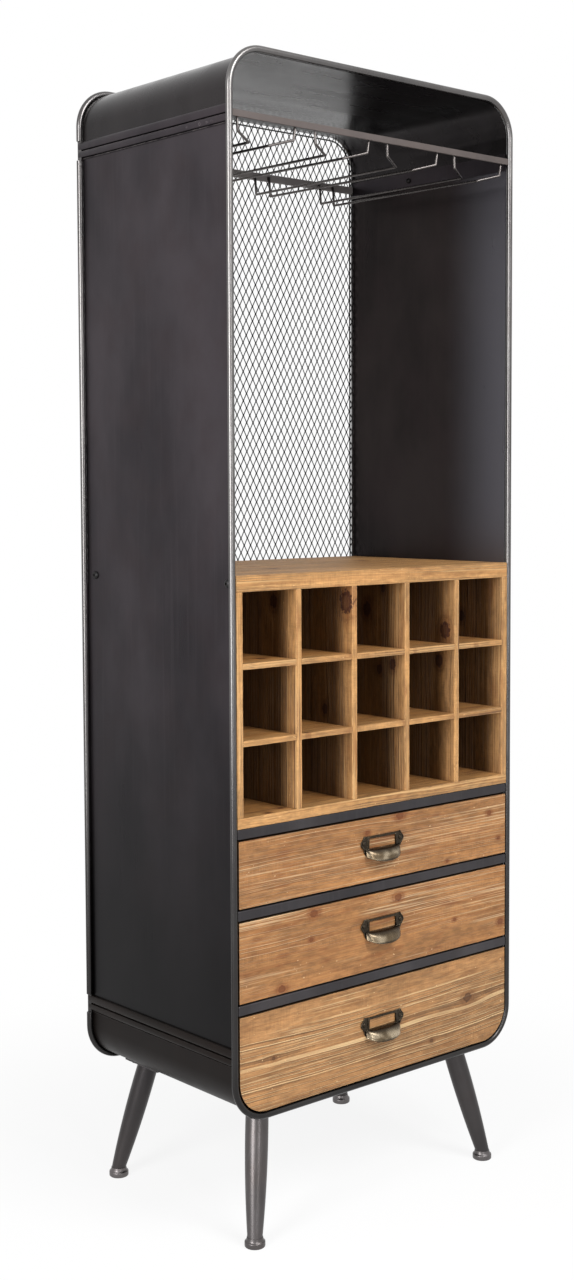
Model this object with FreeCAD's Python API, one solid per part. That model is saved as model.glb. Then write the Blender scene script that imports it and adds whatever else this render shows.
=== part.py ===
"""Wine cabinet: steel loops and sheet skin, glass rails, a fir bottle rack, three drawers and splayed legs.

Millimetres, +Z up, front towards -Y, standing on Z = 0 with the origin under the middle of the whole.
"""
import FreeCAD, Part
import math
import os

V = FreeCAD.Vector

# Overall
width = 610.0               # outside of the loops, left to right
depth = 390.0               # front of the front loop to the back of the rear loop
leg_height = 199.0          # floor to the underside of the loops
display_height = 758.0      # open space over the rack, up to the inside of the loops

# Loops and skin
bar_diameter = 10.0         # round bar of both loops
corner_radius = 65.0        # outside corner of the loops
sheet = 1.5                 # skin, flush with the inside of the loops
weld_gap = 0.1              # left between pieces that are welded edge to edge
cap_drop = 102.0            # top of the loops down to the upper seam, and likewise at the bottom

# Seam strips
bead_width = 14.0           # each of the two beads
bead_rise = 3.6
strip_thickness = 1.2       # edge of a strip, under its beads
backing_thickness = 2.0     # flat strip inside the upper seams
nut_diameter = 11.0
nut_height = 4.5
stud_diameter = 5.0
stud_clearance = 0.2
stud_share = 0.605          # place of the stud from front to back, over the depth

# Back
mesh_thickness = 1.5
mesh_rim = 5.0
mesh_strand = 4.0
mesh_columns = 14
mesh_rows = 11
back_sheet = 1.2

# Glass rack
glass_bar_height = 10.0
rear_bar_height = 13.0
glass_bar_thickness = 4.0
rail_wire = 4.0
rail_pairs = 4
rail_edge = 68.5            # inside of the skin to the middle of the nearest pair
rail_mouth_share = 0.748    # between the two wires at the front bar, over the pitch of the pairs
rail_channel = 32.0         # between the two wires along the run
rail_drop = 29.0            # top of the run below the underside of the front bar
rail_step = 8.0             # how far the flared part climbs to the front hooks
rail_flare = 16.0           # length of the flared part, front to back
rail_bend = 4.0             # bend radius at the middle of the wire
rail_tip = 2.0              # top of a wire below the top of its bar

# Front line and bottle rack
front_setback = 2.0         # wood and rails behind the front of the loops
rack_top_thickness = 24.5
rack_bottom_thickness = 16.0
rack_side_thickness = 12.0
cell_height = 105.5
cell_columns = 5
cell_rows = 3
shelf_thickness = 9.0
upright_thickness = 10.0
rack_fit = 0.3              # rack to the inside of the loops
rack_back_gap = 3.0         # rack to the panel behind it
halving_fit = 0.1           # around each halved joint
screw_diameter = 6.0
screw_length = 24.0
screw_head_diameter = 13.0
screw_head_height = 4.0
screw_clearance = 0.2
screw_from_front = 19.0     # loop front to the front screw
screw_from_back = 32.0      # loop back to the rear screw

# Drawers, counted from the top
drawer_openings = (106.0, 127.0, 157.0)
cross_rail_height = 16.0
cross_rail_depth = 16.0
cross_rail_wall = 1.5
drawer_gap = 2.2            # front to the loops and rails round it
front_thickness = 18.0
box_wall = 12.0
box_side_gap = 4.0          # box to the inside of the skin, each side
box_lift = 6.0              # box above the opening's floor
box_head = 8.0              # box below the opening's top
box_back_gap = 22.0         # box to the back panel
corner_room = 3.0           # box of the lowest drawer above the rounded corners
bottom_sheet = 6.0
bottom_groove = 5.0
bottom_lift = 8.0           # groove above the lower edge of the box
groove_fit = 0.1
runner_height = 10.0
runner_reach = 10.0         # skin to the inner face of a runner
runner_gap = 0.3            # round a runner in its groove
runner_end = 8.0            # runner to the back panel
runner_front_gap = 2.0      # drawer front to the front end of a runner

# Pulls
pull_width = 80.0           # frame of the label window
pull_frame_height = 22.0
pull_plate = 1.6
window_width = 58.0
window_height = 15.0
window_drop = 3.5           # frame over the window
frame_corner = 2.5
skirt_height = 18.0         # plate below the frame, behind the cup
skirt_corner = 15.0
pull_rise = 23.0            # top of the frame above the middle of the opening
cup_half_width = 34.0
cup_reach = 17.0            # how far the cup stands out at its middle
cup_end_reach = 6.0
cup_wall = 1.6
cup_turn = 92.0             # degrees, from straight up, round the front, to the lower lip
ear_diameter = 13.0
ear_drop = 11.0             # middle of an ear below the top of the frame
pull_screw_diameter = 3.5
pull_screw_length = 14.0
pull_screw_head = 7.0
pull_screw_head_height = 1.8
pull_screw_clearance = 0.15

# Legs
foot_inset_x = 51.5         # side of the loops to the middle of a foot
foot_inset_y = 17.0         # front or back of the loops to the middle of a foot
leg_top_inset_x = 90.0
leg_top_inset_y = 56.0
leg_top_diameter = 35.0
leg_middle_diameter = 34.5
leg_bottom_diameter = 23.5
foot_diameter = 32.0
foot_rim = 9.0
foot_height = 15.0
foot_lip = 0.8              # foot round the lower end of its leg
plate_size = 85.0
plate_thickness = 4.0
plate_shift_out = 4.5       # middle of a plate inward of the top of its leg, across the plate
plate_shift_along = 25.0    # the same along the plate, whose leg stands near one end
bolt_diameter = 6.0
bolt_head = 10.0            # across the flats
bolt_head_height = 4.0
bolt_inset = 12.0
bolt_clearance = 0.2
hexagon = 6

cut = 1.0                   # overrun of every cut

# Places worked out from the sizes
pull_proud = pull_plate + cup_reach - front_setback
front_y = (pull_proud - depth) / 2
back_y = (pull_proud + depth) / 2
middle_y = (front_y + back_y) / 2
face_y = front_y + front_setback
bar_radius = bar_diameter / 2
inside_x = width / 2 - bar_diameter
inside_radius = corner_radius - bar_diameter
skin_x = inside_x + sheet
floor_z = leg_height + bar_diameter

opening_tops = []
opening_floors = []
level = floor_z
for opening in reversed(drawer_openings):
    opening_floors.insert(0, level)
    opening_tops.insert(0, level + opening)
    level += opening + cross_rail_height
rack_z = level
cells_z = rack_z + rack_bottom_thickness
rack_top_z = cells_z + cell_rows * cell_height + (cell_rows - 1) * shelf_thickness
display_z = rack_top_z + rack_top_thickness
ceiling_z = display_z + display_height
height = ceiling_z + bar_diameter
upper_seam_z = height - cap_drop
lower_seam_z = leg_height + cap_drop

chord = math.sqrt(bar_radius ** 2 - (bar_radius - sheet) ** 2)
skin_front_y = front_y + bar_radius + chord + weld_gap
skin_back_y = back_y - bar_radius - chord - weld_gap
strip_front_y = front_y + bar_diameter + weld_gap
strip_back_y = back_y - bar_diameter - weld_gap
panel_y = back_y - bar_radius - back_sheet / 2
rear_bar_y = back_y - bar_radius - mesh_thickness / 2 - weld_gap - glass_bar_thickness
stud_y = front_y + depth * stud_share
rail_pitch = 2 * (inside_x - rail_edge) / (rail_pairs - 1)
rail_mouth = rail_pitch * rail_mouth_share


def box(x0, x1, y0, y1, z0, z1):
    """Block between two corners."""
    return Part.makeBox(x1 - x0, y1 - y0, z1 - z0, V(x0, y0, z0))


def rounded_path(points, radii, closed):
    """Straight runs joined by tangent arcs, as a list of edges."""
    count = len(points)
    corners = []
    for i in range(count):
        point = points[i]
        is_end = not closed and i in (0, count - 1)
        if is_end or radii[i] == 0:
            corners.append((point, None, point))
            continue
        to_last = (points[i - 1] - point).normalize()
        to_next = (points[(i + 1) % count] - point).normalize()
        half_turn = to_last.getAngle(to_next) / 2
        reach = radii[i] / math.tan(half_turn)
        inward = (to_last + to_next).normalize()
        middle = point + inward * (radii[i] / math.sin(half_turn) - radii[i])
        corners.append((point + to_last * reach, middle, point + to_next * reach))
    edges = []
    for i in range(count):
        start, middle, finish = corners[i]
        if middle is not None:
            edges.append(Part.Arc(start, middle, finish).toShape())
        if closed or i < count - 1:
            edges.append(Part.LineSegment(finish, corners[(i + 1) % count][0]).toShape())
    return edges


def bar_along(edges, diameter):
    """Round bar whose middle follows the edges."""
    path = Part.Wire(edges)
    first = edges[0]
    start = first.valueAt(first.FirstParameter)
    along = first.tangentAt(first.FirstParameter)
    ring = Part.Wire([Part.makeCircle(diameter / 2, start, along)])
    return path.makePipeShell([ring], True, False)


def upright_rectangle(half_width, z0, z1, y):
    """Corners of a rectangle that faces the front, from the lower left."""
    return [V(-half_width, y, z0), V(half_width, y, z0), V(half_width, y, z1), V(-half_width, y, z1)]


def slab(half_width, z0, z1, bottom_radius, top_radius, y0, y1):
    """Upright plate with rounded corners."""
    corners = upright_rectangle(half_width, z0, z1, y0)
    radii = (bottom_radius, bottom_radius, top_radius, top_radius)
    face = Part.Face(Part.Wire(rounded_path(corners, radii, True)))
    return face.extrude(V(0, y1 - y0, 0))


def hexagon_prism(across, x, y, z, tall):
    """Upright hexagon of a bolt head."""
    radius = across / math.sqrt(3)
    turns = [2 * math.pi * i / hexagon for i in range(hexagon + 1)]
    corners = [V(x + radius * math.cos(t), y + radius * math.sin(t), z) for t in turns]
    return Part.Face(Part.makePolygon(corners)).extrude(V(0, 0, tall))


def mirrored(shape):
    """The same piece on the other side, left to right."""
    return shape.mirror(V(0, 0, 0), V(1, 0, 0))


def group(solids):
    return Part.makeCompound(solids)


# Loops
def loop(y):
    radius = corner_radius - bar_radius
    corners = upright_rectangle(width / 2 - bar_radius, leg_height + bar_radius, height - bar_radius, y)
    return bar_along(rounded_path(corners, [radius] * len(corners), True), bar_diameter)


# Skin
def skin():
    """Whole sheet ring between the loops, and the seams that part it."""
    outer = slab(skin_x, floor_z - sheet, ceiling_z + sheet, inside_radius + sheet, inside_radius + sheet,
                 skin_front_y, skin_back_y)
    inner = slab(inside_x, floor_z, ceiling_z, inside_radius, inside_radius,
                 skin_front_y - cut, skin_back_y + cut)
    return outer.cut(inner)


def skin_part(z0, z1, x0=-width / 2, x1=width / 2):
    return skin().common(box(x0, x1, front_y, back_y, z0, z1))


def side_panel():
    """Left side panel with its two screw holes."""
    panel = skin_part(lower_seam_z, upper_seam_z, x1=0)
    for y in screw_places():
        panel = panel.cut(side_hole(y))
    return panel


def seam_strip(z):
    """Left double-bead strip, centred on a seam."""
    base = -skin_x
    edge = base - strip_thickness
    crest = edge - bead_rise
    low, high = z - bead_width, z + bead_width
    y = strip_front_y
    edges = [
        Part.LineSegment(V(base, y, high), V(base, y, low)).toShape(),
        Part.LineSegment(V(base, y, low), V(edge, y, low)).toShape(),
        Part.Arc(V(edge, y, low), V(crest, y, z - bead_width / 2), V(edge, y, z)).toShape(),
        Part.Arc(V(edge, y, z), V(crest, y, z + bead_width / 2), V(edge, y, high)).toShape(),
        Part.LineSegment(V(edge, y, high), V(base, y, high)).toShape(),
    ]
    return Part.Face(Part.Wire(edges)).extrude(V(0, strip_back_y - strip_front_y, 0))


def seam_backing():
    """Left inner strip at the upper seam, with the hole for its stud."""
    strip = box(-inside_x, backing_thickness - inside_x, strip_front_y, strip_back_y,
                upper_seam_z - bead_width, upper_seam_z + bead_width)
    hole = Part.makeCylinder(stud_diameter / 2 + stud_clearance, backing_thickness + 2 * cut,
                             V(-inside_x - cut, stud_y, upper_seam_z), V(1, 0, 0))
    return strip.cut(hole)


def seam_nut():
    """Left stud and domed nut over the backing strip."""
    stud = Part.makeCylinder(stud_diameter / 2, backing_thickness, V(-inside_x, stud_y, upper_seam_z), V(1, 0, 0))
    seat = backing_thickness - inside_x
    nut = dome(nut_diameter, nut_height, V(seat, stud_y, upper_seam_z), V(1, 0, 0))
    return stud.fuse(nut)


def dome(diameter, tall, seat, out):
    """Low domed head that stands on its seat."""
    ball = ((diameter / 2) ** 2 + tall ** 2) / (2 * tall)
    block = Part.makeCylinder(diameter / 2, tall, seat, out)
    return block.common(Part.makeSphere(ball, seat + out * (tall - ball)))


# Back
def inside_rounded(x, z, inset):
    """Whether a point of the mesh lies inside its rounded top corners by the inset."""
    corner_x = inside_x - inside_radius
    corner_z = ceiling_z - inside_radius
    if abs(x) <= corner_x or z <= corner_z:
        return True
    return math.hypot(abs(x) - corner_x, z - corner_z) <= inside_radius - inset


def back_mesh():
    """Expanded metal, as one sheet with two staggered fields of diamond holes."""
    half = inside_x - weld_gap
    low = rack_top_z + weld_gap
    high = ceiling_z - weld_gap
    y = back_y - bar_radius - mesh_thickness / 2
    corners = upright_rectangle(half, low, high, y)
    outline = Part.Wire(rounded_path(corners, (0, 0, inside_radius, inside_radius), True))
    cell_x = 2 * (half - mesh_rim) / mesh_columns
    cell_z = (high - low - 2 * mesh_rim) / mesh_rows
    a, b = cell_x / 2, cell_z / 2
    hole_share = 1 - mesh_strand / 2 * math.hypot(a, b) / (a * b)
    holes = []
    for stagger in (0, 1):
        for i in range(mesh_columns - stagger):
            for j in range(mesh_rows - stagger):
                x = mesh_rim - half + (2 * i + 1 + stagger) * a
                z = low + mesh_rim + (2 * j + 1 + stagger) * b
                if not inside_rounded(abs(x) + a, z + b, mesh_rim):
                    continue
                da, db = a * hole_share, b * hole_share
                tips = [V(x - da, y, z), V(x, y, z - db), V(x + da, y, z), V(x, y, z + db), V(x - da, y, z)]
                holes.append(Part.makePolygon(tips))
    face = Part.Face([outline] + holes)
    return face.extrude(V(0, mesh_thickness, 0))


def lower_back_panel():
    return slab(inside_x - weld_gap, floor_z + weld_gap, rack_top_z - weld_gap, inside_radius, 0,
                panel_y, panel_y + back_sheet)


# Glass rack
under_bar = upper_seam_z - glass_bar_height / 2


def glass_bar(y, tall):
    half = inside_x - weld_gap
    return box(-half, half, y, y + glass_bar_thickness, under_bar, under_bar + tall)


def glass_rail(number):
    """Two mirrored wires that carry the feet of one row of glasses."""
    middle_x = (number - (rail_pairs + 1) / 2) * rail_pitch
    run_z = under_bar - rail_drop
    tip_z = under_bar + glass_bar_height - rail_tip
    hook_y = front_y + bar_radius + glass_bar_thickness / 2 + weld_gap + rail_wire / 2
    rear_y = rear_bar_y - weld_gap - rail_wire / 2
    wires = []
    for side in (-1, 1):
        mouth_x = middle_x + side * rail_mouth / 2
        run_x = middle_x + side * rail_channel / 2
        points = [
            V(mouth_x, hook_y, tip_z),
            V(mouth_x, hook_y, run_z + rail_step),
            V(run_x, hook_y + rail_flare, run_z),
            V(run_x, rear_y, run_z),
            V(run_x, rear_y, tip_z),
        ]
        wires.append(bar_along(rounded_path(points, [rail_bend] * len(points), False), rail_wire))
    return group(wires)


# Bottle rack
rack_half = inside_x - rack_fit
rack_back_y = panel_y - rack_back_gap
cell_half = rack_half - rack_side_thickness
cell_width = (2 * cell_half - (cell_columns - 1) * upright_thickness) / cell_columns
halving_y = (face_y + rack_back_y) / 2


def upright_place(number):
    """Left face of an upright, counted from the left."""
    return number * cell_width + (number - 1) * upright_thickness - cell_half


def shelf_place(number):
    """Underside of a shelf, counted from the bottom."""
    return cells_z + number * cell_height + (number - 1) * shelf_thickness


def screw_places():
    return (front_y + screw_from_front, back_y - screw_from_back)


def side_hole(y):
    """Screw hole through the left side panel and into the top board."""
    start = V(-width / 2, y, rack_top_z + rack_top_thickness / 2)
    long = width / 2 - skin_x + screw_length + screw_clearance
    return Part.makeCylinder(screw_diameter / 2 + screw_clearance, long, start, V(1, 0, 0))


def rack_top():
    board = box(-rack_half, rack_half, face_y, rack_back_y, rack_top_z, display_z)
    for y in screw_places():
        board = board.cut(side_hole(y)).cut(mirrored(side_hole(y)))
    return board


def rack_bottom():
    return box(-rack_half, rack_half, face_y, rack_back_y, rack_z, cells_z)


def rack_side():
    """Left side board."""
    return box(-rack_half, -cell_half, face_y, rack_back_y, cells_z, rack_top_z)


def rack_upright(number):
    """Upright, whole at the front and slotted from the back for the shelves."""
    x = upright_place(number)
    board = box(x, x + upright_thickness, face_y, rack_back_y, cells_z, rack_top_z)
    for shelf in range(1, cell_rows):
        z = shelf_place(shelf)
        slot = box(x - cut, x + upright_thickness + cut, halving_y - halving_fit, rack_back_y + cut,
                   z - halving_fit, z + shelf_thickness + halving_fit)
        board = board.cut(slot)
    return board


def rack_shelf(number):
    """Shelf, slotted from the front for the uprights."""
    z = shelf_place(number)
    board = box(-cell_half, cell_half, face_y, rack_back_y, z, z + shelf_thickness)
    for upright in range(1, cell_columns):
        x = upright_place(upright)
        slot = box(x - halving_fit, x + upright_thickness + halving_fit, face_y - cut, halving_y + halving_fit,
                   z - cut, z + shelf_thickness + cut)
        board = board.cut(slot)
    return board


def rack_screws():
    """Dome screws through both side panels into the ends of the top board."""
    screws = []
    for y in screw_places():
        seat = V(-skin_x, y, rack_top_z + rack_top_thickness / 2)
        head = dome(screw_head_diameter, screw_head_height, seat, V(-1, 0, 0))
        shank = Part.makeCylinder(screw_diameter / 2, screw_length, seat, V(1, 0, 0))
        screw = head.fuse(shank)
        screws += [screw, mirrored(screw)]
    return group(screws)


# Cross rails and runners
def cross_rail(y, z):
    """Square tube from side to side, with its underside at z."""
    half = inside_x - weld_gap
    tube = box(-half, half, y, y + cross_rail_depth, z, z + cross_rail_height)
    wall = cross_rail_wall
    bore = box(-half - cut, half + cut, y + wall, y + cross_rail_depth - wall, z + wall, z + cross_rail_height - wall)
    return tube.cut(bore)


def box_floor(number):
    """Lower edge of a drawer's box: the lowest clears the rounded corners of the pan."""
    lift = box_lift
    if number == len(drawer_openings):
        run = inside_radius - box_side_gap
        lift = inside_radius - math.sqrt(inside_radius ** 2 - run ** 2) + corner_room
    return opening_floors[number - 1] + lift


def box_top(number):
    return opening_tops[number - 1] - box_head


def runner_place(number):
    """Underside of a drawer's runners."""
    return (box_floor(number) + box_top(number)) / 2


def drawer_runners():
    """A bar on each side panel for each drawer, which the grooves of its box slide along."""
    bars = []
    front_end = face_y + front_thickness + runner_front_gap
    for number in range(1, len(drawer_openings) + 1):
        z = runner_place(number)
        bar = box(-inside_x, runner_reach - inside_x, front_end, panel_y - runner_end, z, z + runner_height)
        bars += [bar, mirrored(bar)]
    return group(bars)


# Drawers
box_half = inside_x - box_side_gap
box_front_y = face_y + front_thickness
box_back_y = panel_y - box_back_gap


def drawer_front(number):
    low = opening_floors[number - 1] + drawer_gap
    high = opening_tops[number - 1] - drawer_gap
    radius = 0
    if number == len(drawer_openings):
        radius = inside_radius - drawer_gap
    front = slab(inside_x - drawer_gap, low, high, radius, 0, face_y, box_front_y)
    for x in ear_places():
        front = front.cut(pull_screw_hole(x, pull_top(number) - ear_drop))
    return front


def drawer_sides(number):
    """Two sides, grooved outside for the runners and inside for the bottom."""
    low, high = box_floor(number), box_top(number)
    side = box(-box_half, box_wall - box_half, box_front_y, box_back_y, low, high)
    z = runner_place(number)
    groove = box(-box_half - cut, runner_reach + runner_gap - inside_x, box_front_y, box_back_y + cut,
                 z - runner_gap, z + runner_height + runner_gap)
    inner_groove = box(box_wall - bottom_groove - box_half, box_wall + cut - box_half,
                       box_front_y - cut, box_back_y + cut,
                       low + bottom_lift, low + bottom_lift + bottom_sheet)
    side = side.cut(groove).cut(inner_groove)
    return group([side, mirrored(side)])


def drawer_back(number):
    """Back between the sides, over the bottom."""
    half = box_half - box_wall
    low = box_floor(number) + bottom_lift + bottom_sheet
    return box(-half, half, box_back_y - box_wall, box_back_y, low, box_top(number))


def drawer_bottom(number):
    half = box_half - box_wall + bottom_groove - groove_fit
    low = box_floor(number) + bottom_lift
    return box(-half, half, box_front_y, box_back_y, low, low + bottom_sheet)


# Pulls
def pull_top(number):
    """Top of a pull's frame."""
    return (opening_floors[number - 1] + opening_tops[number - 1]) / 2 + pull_rise


def ear_places():
    return (-pull_width / 2, pull_width / 2)


def pull_screw_hole(x, z):
    radius = pull_screw_diameter / 2 + pull_screw_clearance
    long = pull_plate + pull_screw_length + pull_screw_clearance
    return Part.makeCylinder(radius, long, V(x, face_y - pull_plate, z), V(0, 1, 0))


def cup(z):
    """Hollow cup: a bowed outline turned about the line where it meets the plate, open below."""
    y = face_y - pull_plate
    ends = (cup_half_width, cup_half_width - cup_wall)
    edges = []
    for end, wall in zip(ends, (0, cup_wall)):
        edges.append(Part.Arc(V(-end, y, z + cup_end_reach - wall), V(0, y, z + cup_reach - wall),
                              V(end, y, z + cup_end_reach - wall)).toShape())
    for side in (-1, 1):
        outer, inner = side * ends[0], side * ends[1]
        edges.append(Part.LineSegment(V(outer, y, z + cup_end_reach), V(outer, y, z)).toShape())
        edges.append(Part.LineSegment(V(outer, y, z), V(inner, y, z)).toShape())
        edges.append(Part.LineSegment(V(inner, y, z), V(inner, y, z + cup_end_reach - cup_wall)).toShape())
    face = Part.Face(Part.Wire(Part.__sortEdges__(edges)))
    return face.revolve(V(0, y, z), V(1, 0, 0), cup_turn)


def drawer_pull(number):
    """Label frame with two ears, and the cup below its window."""
    top = pull_top(number)
    sill = top - pull_frame_height
    y = face_y - pull_plate
    frame = slab(pull_width / 2, sill - skirt_height, top, skirt_corner, frame_corner, y, face_y)
    ear_z = top - ear_drop
    for x in ear_places():
        frame = frame.fuse(Part.makeCylinder(ear_diameter / 2, pull_plate, V(x, y, ear_z), V(0, 1, 0)))
    window = box(-window_width / 2, window_width / 2, y - cut, face_y + cut,
                 top - window_drop - window_height, top - window_drop)
    frame = frame.cut(window)
    pull = frame.fuse(cup(sill - cup_reach)).removeSplitter()
    for x in ear_places():
        pull = pull.cut(pull_screw_hole(x, ear_z))
    return pull


def pull_screws(number):
    screws = []
    z = pull_top(number) - ear_drop
    for x in ear_places():
        seat = V(x, face_y - pull_plate, z)
        head = dome(pull_screw_head, pull_screw_head_height, seat, V(0, -1, 0))
        shank = Part.makeCylinder(pull_screw_diameter / 2, pull_plate + pull_screw_length, seat, V(0, 1, 0))
        screws.append(head.fuse(shank))
    return group(screws)


# Legs
pan_z = floor_z - sheet
plate_z = pan_z - plate_thickness
leg_sides = {"front_left": (-1, -1), "front_right": (1, -1), "rear_left": (-1, 1), "rear_right": (1, 1)}


def foot_place(side):
    return V(side[0] * (width / 2 - foot_inset_x), middle_y + side[1] * (depth / 2 - foot_inset_y), 0)


def leg_top_place(side):
    x = side[0] * (width / 2 - leg_top_inset_x)
    y = middle_y + side[1] * (depth / 2 - leg_top_inset_y)
    return V(x, y, plate_z)


def leg(side):
    """Leg that is full in the middle and tapers to its foot, cut level at both ends."""
    low = foot_place(side) + V(0, 0, foot_height)
    high = leg_top_place(side)
    places = [(low, leg_bottom_diameter), ((low + high) / 2, leg_middle_diameter), (high, leg_top_diameter)]
    rings = [Part.Wire([Part.makeCircle(diameter / 2, place)]) for place, diameter in places]
    return Part.makeLoft(rings, True)


def foot(side):
    place = foot_place(side)
    rim = Part.makeCylinder(foot_diameter / 2, foot_rim, place)
    flare = Part.makeCone(foot_diameter / 2, leg_bottom_diameter / 2 + foot_lip, foot_height - foot_rim,
                          place + V(0, 0, foot_rim))
    return rim.fuse(flare)


def plate_place(side):
    """Middle of a plate. The four legs with their plates are alike, each a quarter turn from the next."""
    shift_x, shift_y = plate_shift_out, plate_shift_along
    if side[0] == side[1]:
        shift_x, shift_y = shift_y, shift_x
    return leg_top_place(side) - V(side[0] * shift_x, side[1] * shift_y, 0)


def bolt_places(side):
    middle = plate_place(side)
    reach = plate_size / 2 - bolt_inset
    return [middle + V(i * reach, j * reach, 0) for i in (-1, 1) for j in (-1, 1)]


def leg_plate(side):
    middle = plate_place(side)
    half = plate_size / 2
    plate = box(middle.x - half, middle.x + half, middle.y - half, middle.y + half, plate_z, pan_z)
    for place in bolt_places(side):
        hole = Part.makeCylinder(bolt_diameter / 2 + bolt_clearance, plate_thickness + 2 * cut, place - V(0, 0, cut))
        plate = plate.cut(hole)
    return plate


def leg_bolts(side):
    bolts = []
    for place in bolt_places(side):
        head = hexagon_prism(bolt_head, place.x, place.y, plate_z - bolt_head_height, bolt_head_height)
        shank = Part.makeCylinder(bolt_diameter / 2, plate_thickness, place)
        bolts.append(head.fuse(shank))
    return bolts


# All nodes by name
nodes = {
    "front_loop": loop(front_y + bar_radius),
    "rear_loop": loop(back_y - bar_radius),
    "top_cap": skin_part(upper_seam_z, height),
    "bottom_pan": skin_part(leg_height, lower_seam_z),
    "left_side_panel": side_panel(),
    "right_side_panel": mirrored(side_panel()),
    "upper_seam_strips": group([seam_strip(upper_seam_z), mirrored(seam_strip(upper_seam_z))]),
    "lower_seam_strips": group([seam_strip(lower_seam_z), mirrored(seam_strip(lower_seam_z))]),
    "seam_backings": group([seam_backing(), mirrored(seam_backing())]),
    "seam_nuts": group([seam_nut(), mirrored(seam_nut())]),
    "back_mesh": back_mesh(),
    "lower_back_panel": lower_back_panel(),
    "front_glass_bar": glass_bar(front_y + bar_radius - glass_bar_thickness / 2, glass_bar_height),
    "rear_glass_bar": glass_bar(rear_bar_y, rear_bar_height),
    "rack_top_board": rack_top(),
    "rack_bottom_board": rack_bottom(),
    "rack_left_side": rack_side(),
    "rack_right_side": mirrored(rack_side()),
    "rack_screws": rack_screws(),
    "rack_rear_rail": cross_rail(panel_y - rack_back_gap - cross_rail_depth, rack_z - cross_rail_height),
    "drawer_runners": drawer_runners(),
    "feet": group([foot(side) for side in leg_sides.values()]),
    "leg_plates": group([leg_plate(side) for side in leg_sides.values()]),
    "leg_bolts": group([bolt for side in leg_sides.values() for bolt in leg_bolts(side)]),
}
for pair in range(1, rail_pairs + 1):
    nodes[f"glass_rail_{pair}"] = glass_rail(pair)
for shelf in range(1, cell_rows):
    nodes[f"rack_shelf_{shelf}"] = rack_shelf(shelf)
for upright in range(1, cell_columns):
    nodes[f"rack_upright_{upright}"] = rack_upright(upright)
for number in range(1, len(drawer_openings) + 1):
    nodes[f"cross_rail_{number}"] = cross_rail(face_y, opening_tops[number - 1])
    nodes[f"drawer_{number}_front"] = drawer_front(number)
    nodes[f"drawer_{number}_sides"] = drawer_sides(number)
    nodes[f"drawer_{number}_back"] = drawer_back(number)
    nodes[f"drawer_{number}_bottom"] = drawer_bottom(number)
    nodes[f"drawer_{number}_pull"] = drawer_pull(number)
    nodes[f"drawer_{number}_pull_screws"] = pull_screws(number)
for name, side in leg_sides.items():
    nodes[f"{name}_leg"] = leg(side)

os.makedirs("parts", exist_ok=True)
for name, shape in nodes.items():
    shape.exportStep(f"parts/{name}.step")
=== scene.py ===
"""Looks of the wine cabinet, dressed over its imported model.

Blender works in metres. Sizes and places in this file are millimetres unless they say otherwise.
"""

import math

import bmesh
import bpy
from mathutils import Matrix, Vector, noise


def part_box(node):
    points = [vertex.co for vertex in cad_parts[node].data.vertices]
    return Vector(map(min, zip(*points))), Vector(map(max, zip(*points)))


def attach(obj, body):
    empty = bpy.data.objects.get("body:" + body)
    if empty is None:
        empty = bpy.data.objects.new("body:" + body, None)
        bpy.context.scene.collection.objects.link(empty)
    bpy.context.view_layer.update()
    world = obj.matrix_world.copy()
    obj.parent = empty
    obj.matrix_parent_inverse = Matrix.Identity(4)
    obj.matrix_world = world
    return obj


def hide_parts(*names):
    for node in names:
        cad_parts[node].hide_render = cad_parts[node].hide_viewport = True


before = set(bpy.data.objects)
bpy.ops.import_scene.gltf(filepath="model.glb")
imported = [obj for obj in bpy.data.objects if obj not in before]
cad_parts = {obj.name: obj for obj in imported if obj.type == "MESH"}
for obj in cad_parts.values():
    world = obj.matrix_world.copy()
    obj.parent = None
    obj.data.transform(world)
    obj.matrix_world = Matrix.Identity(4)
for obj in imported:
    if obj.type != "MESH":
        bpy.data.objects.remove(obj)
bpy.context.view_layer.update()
MM = 0.001
noise.seed_set(1)           # the boards' surfaces wander alike on each run
LEFT, RIGHT = (-1, 0, 0), (1, 0, 0)
FORWARD, REARWARD = (0, -1, 0), (0, 1, 0)
DOWN, UP = (0, 0, -1), (0, 0, 1)


def span(node):
    """Lowest and highest corner of a CAD node, in millimetres."""
    low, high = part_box(node)
    return [v / MM for v in low], [v / MM for v in high]


FACE = span("rack_top_board")[0][1]     # front of the boards and drawers


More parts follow.
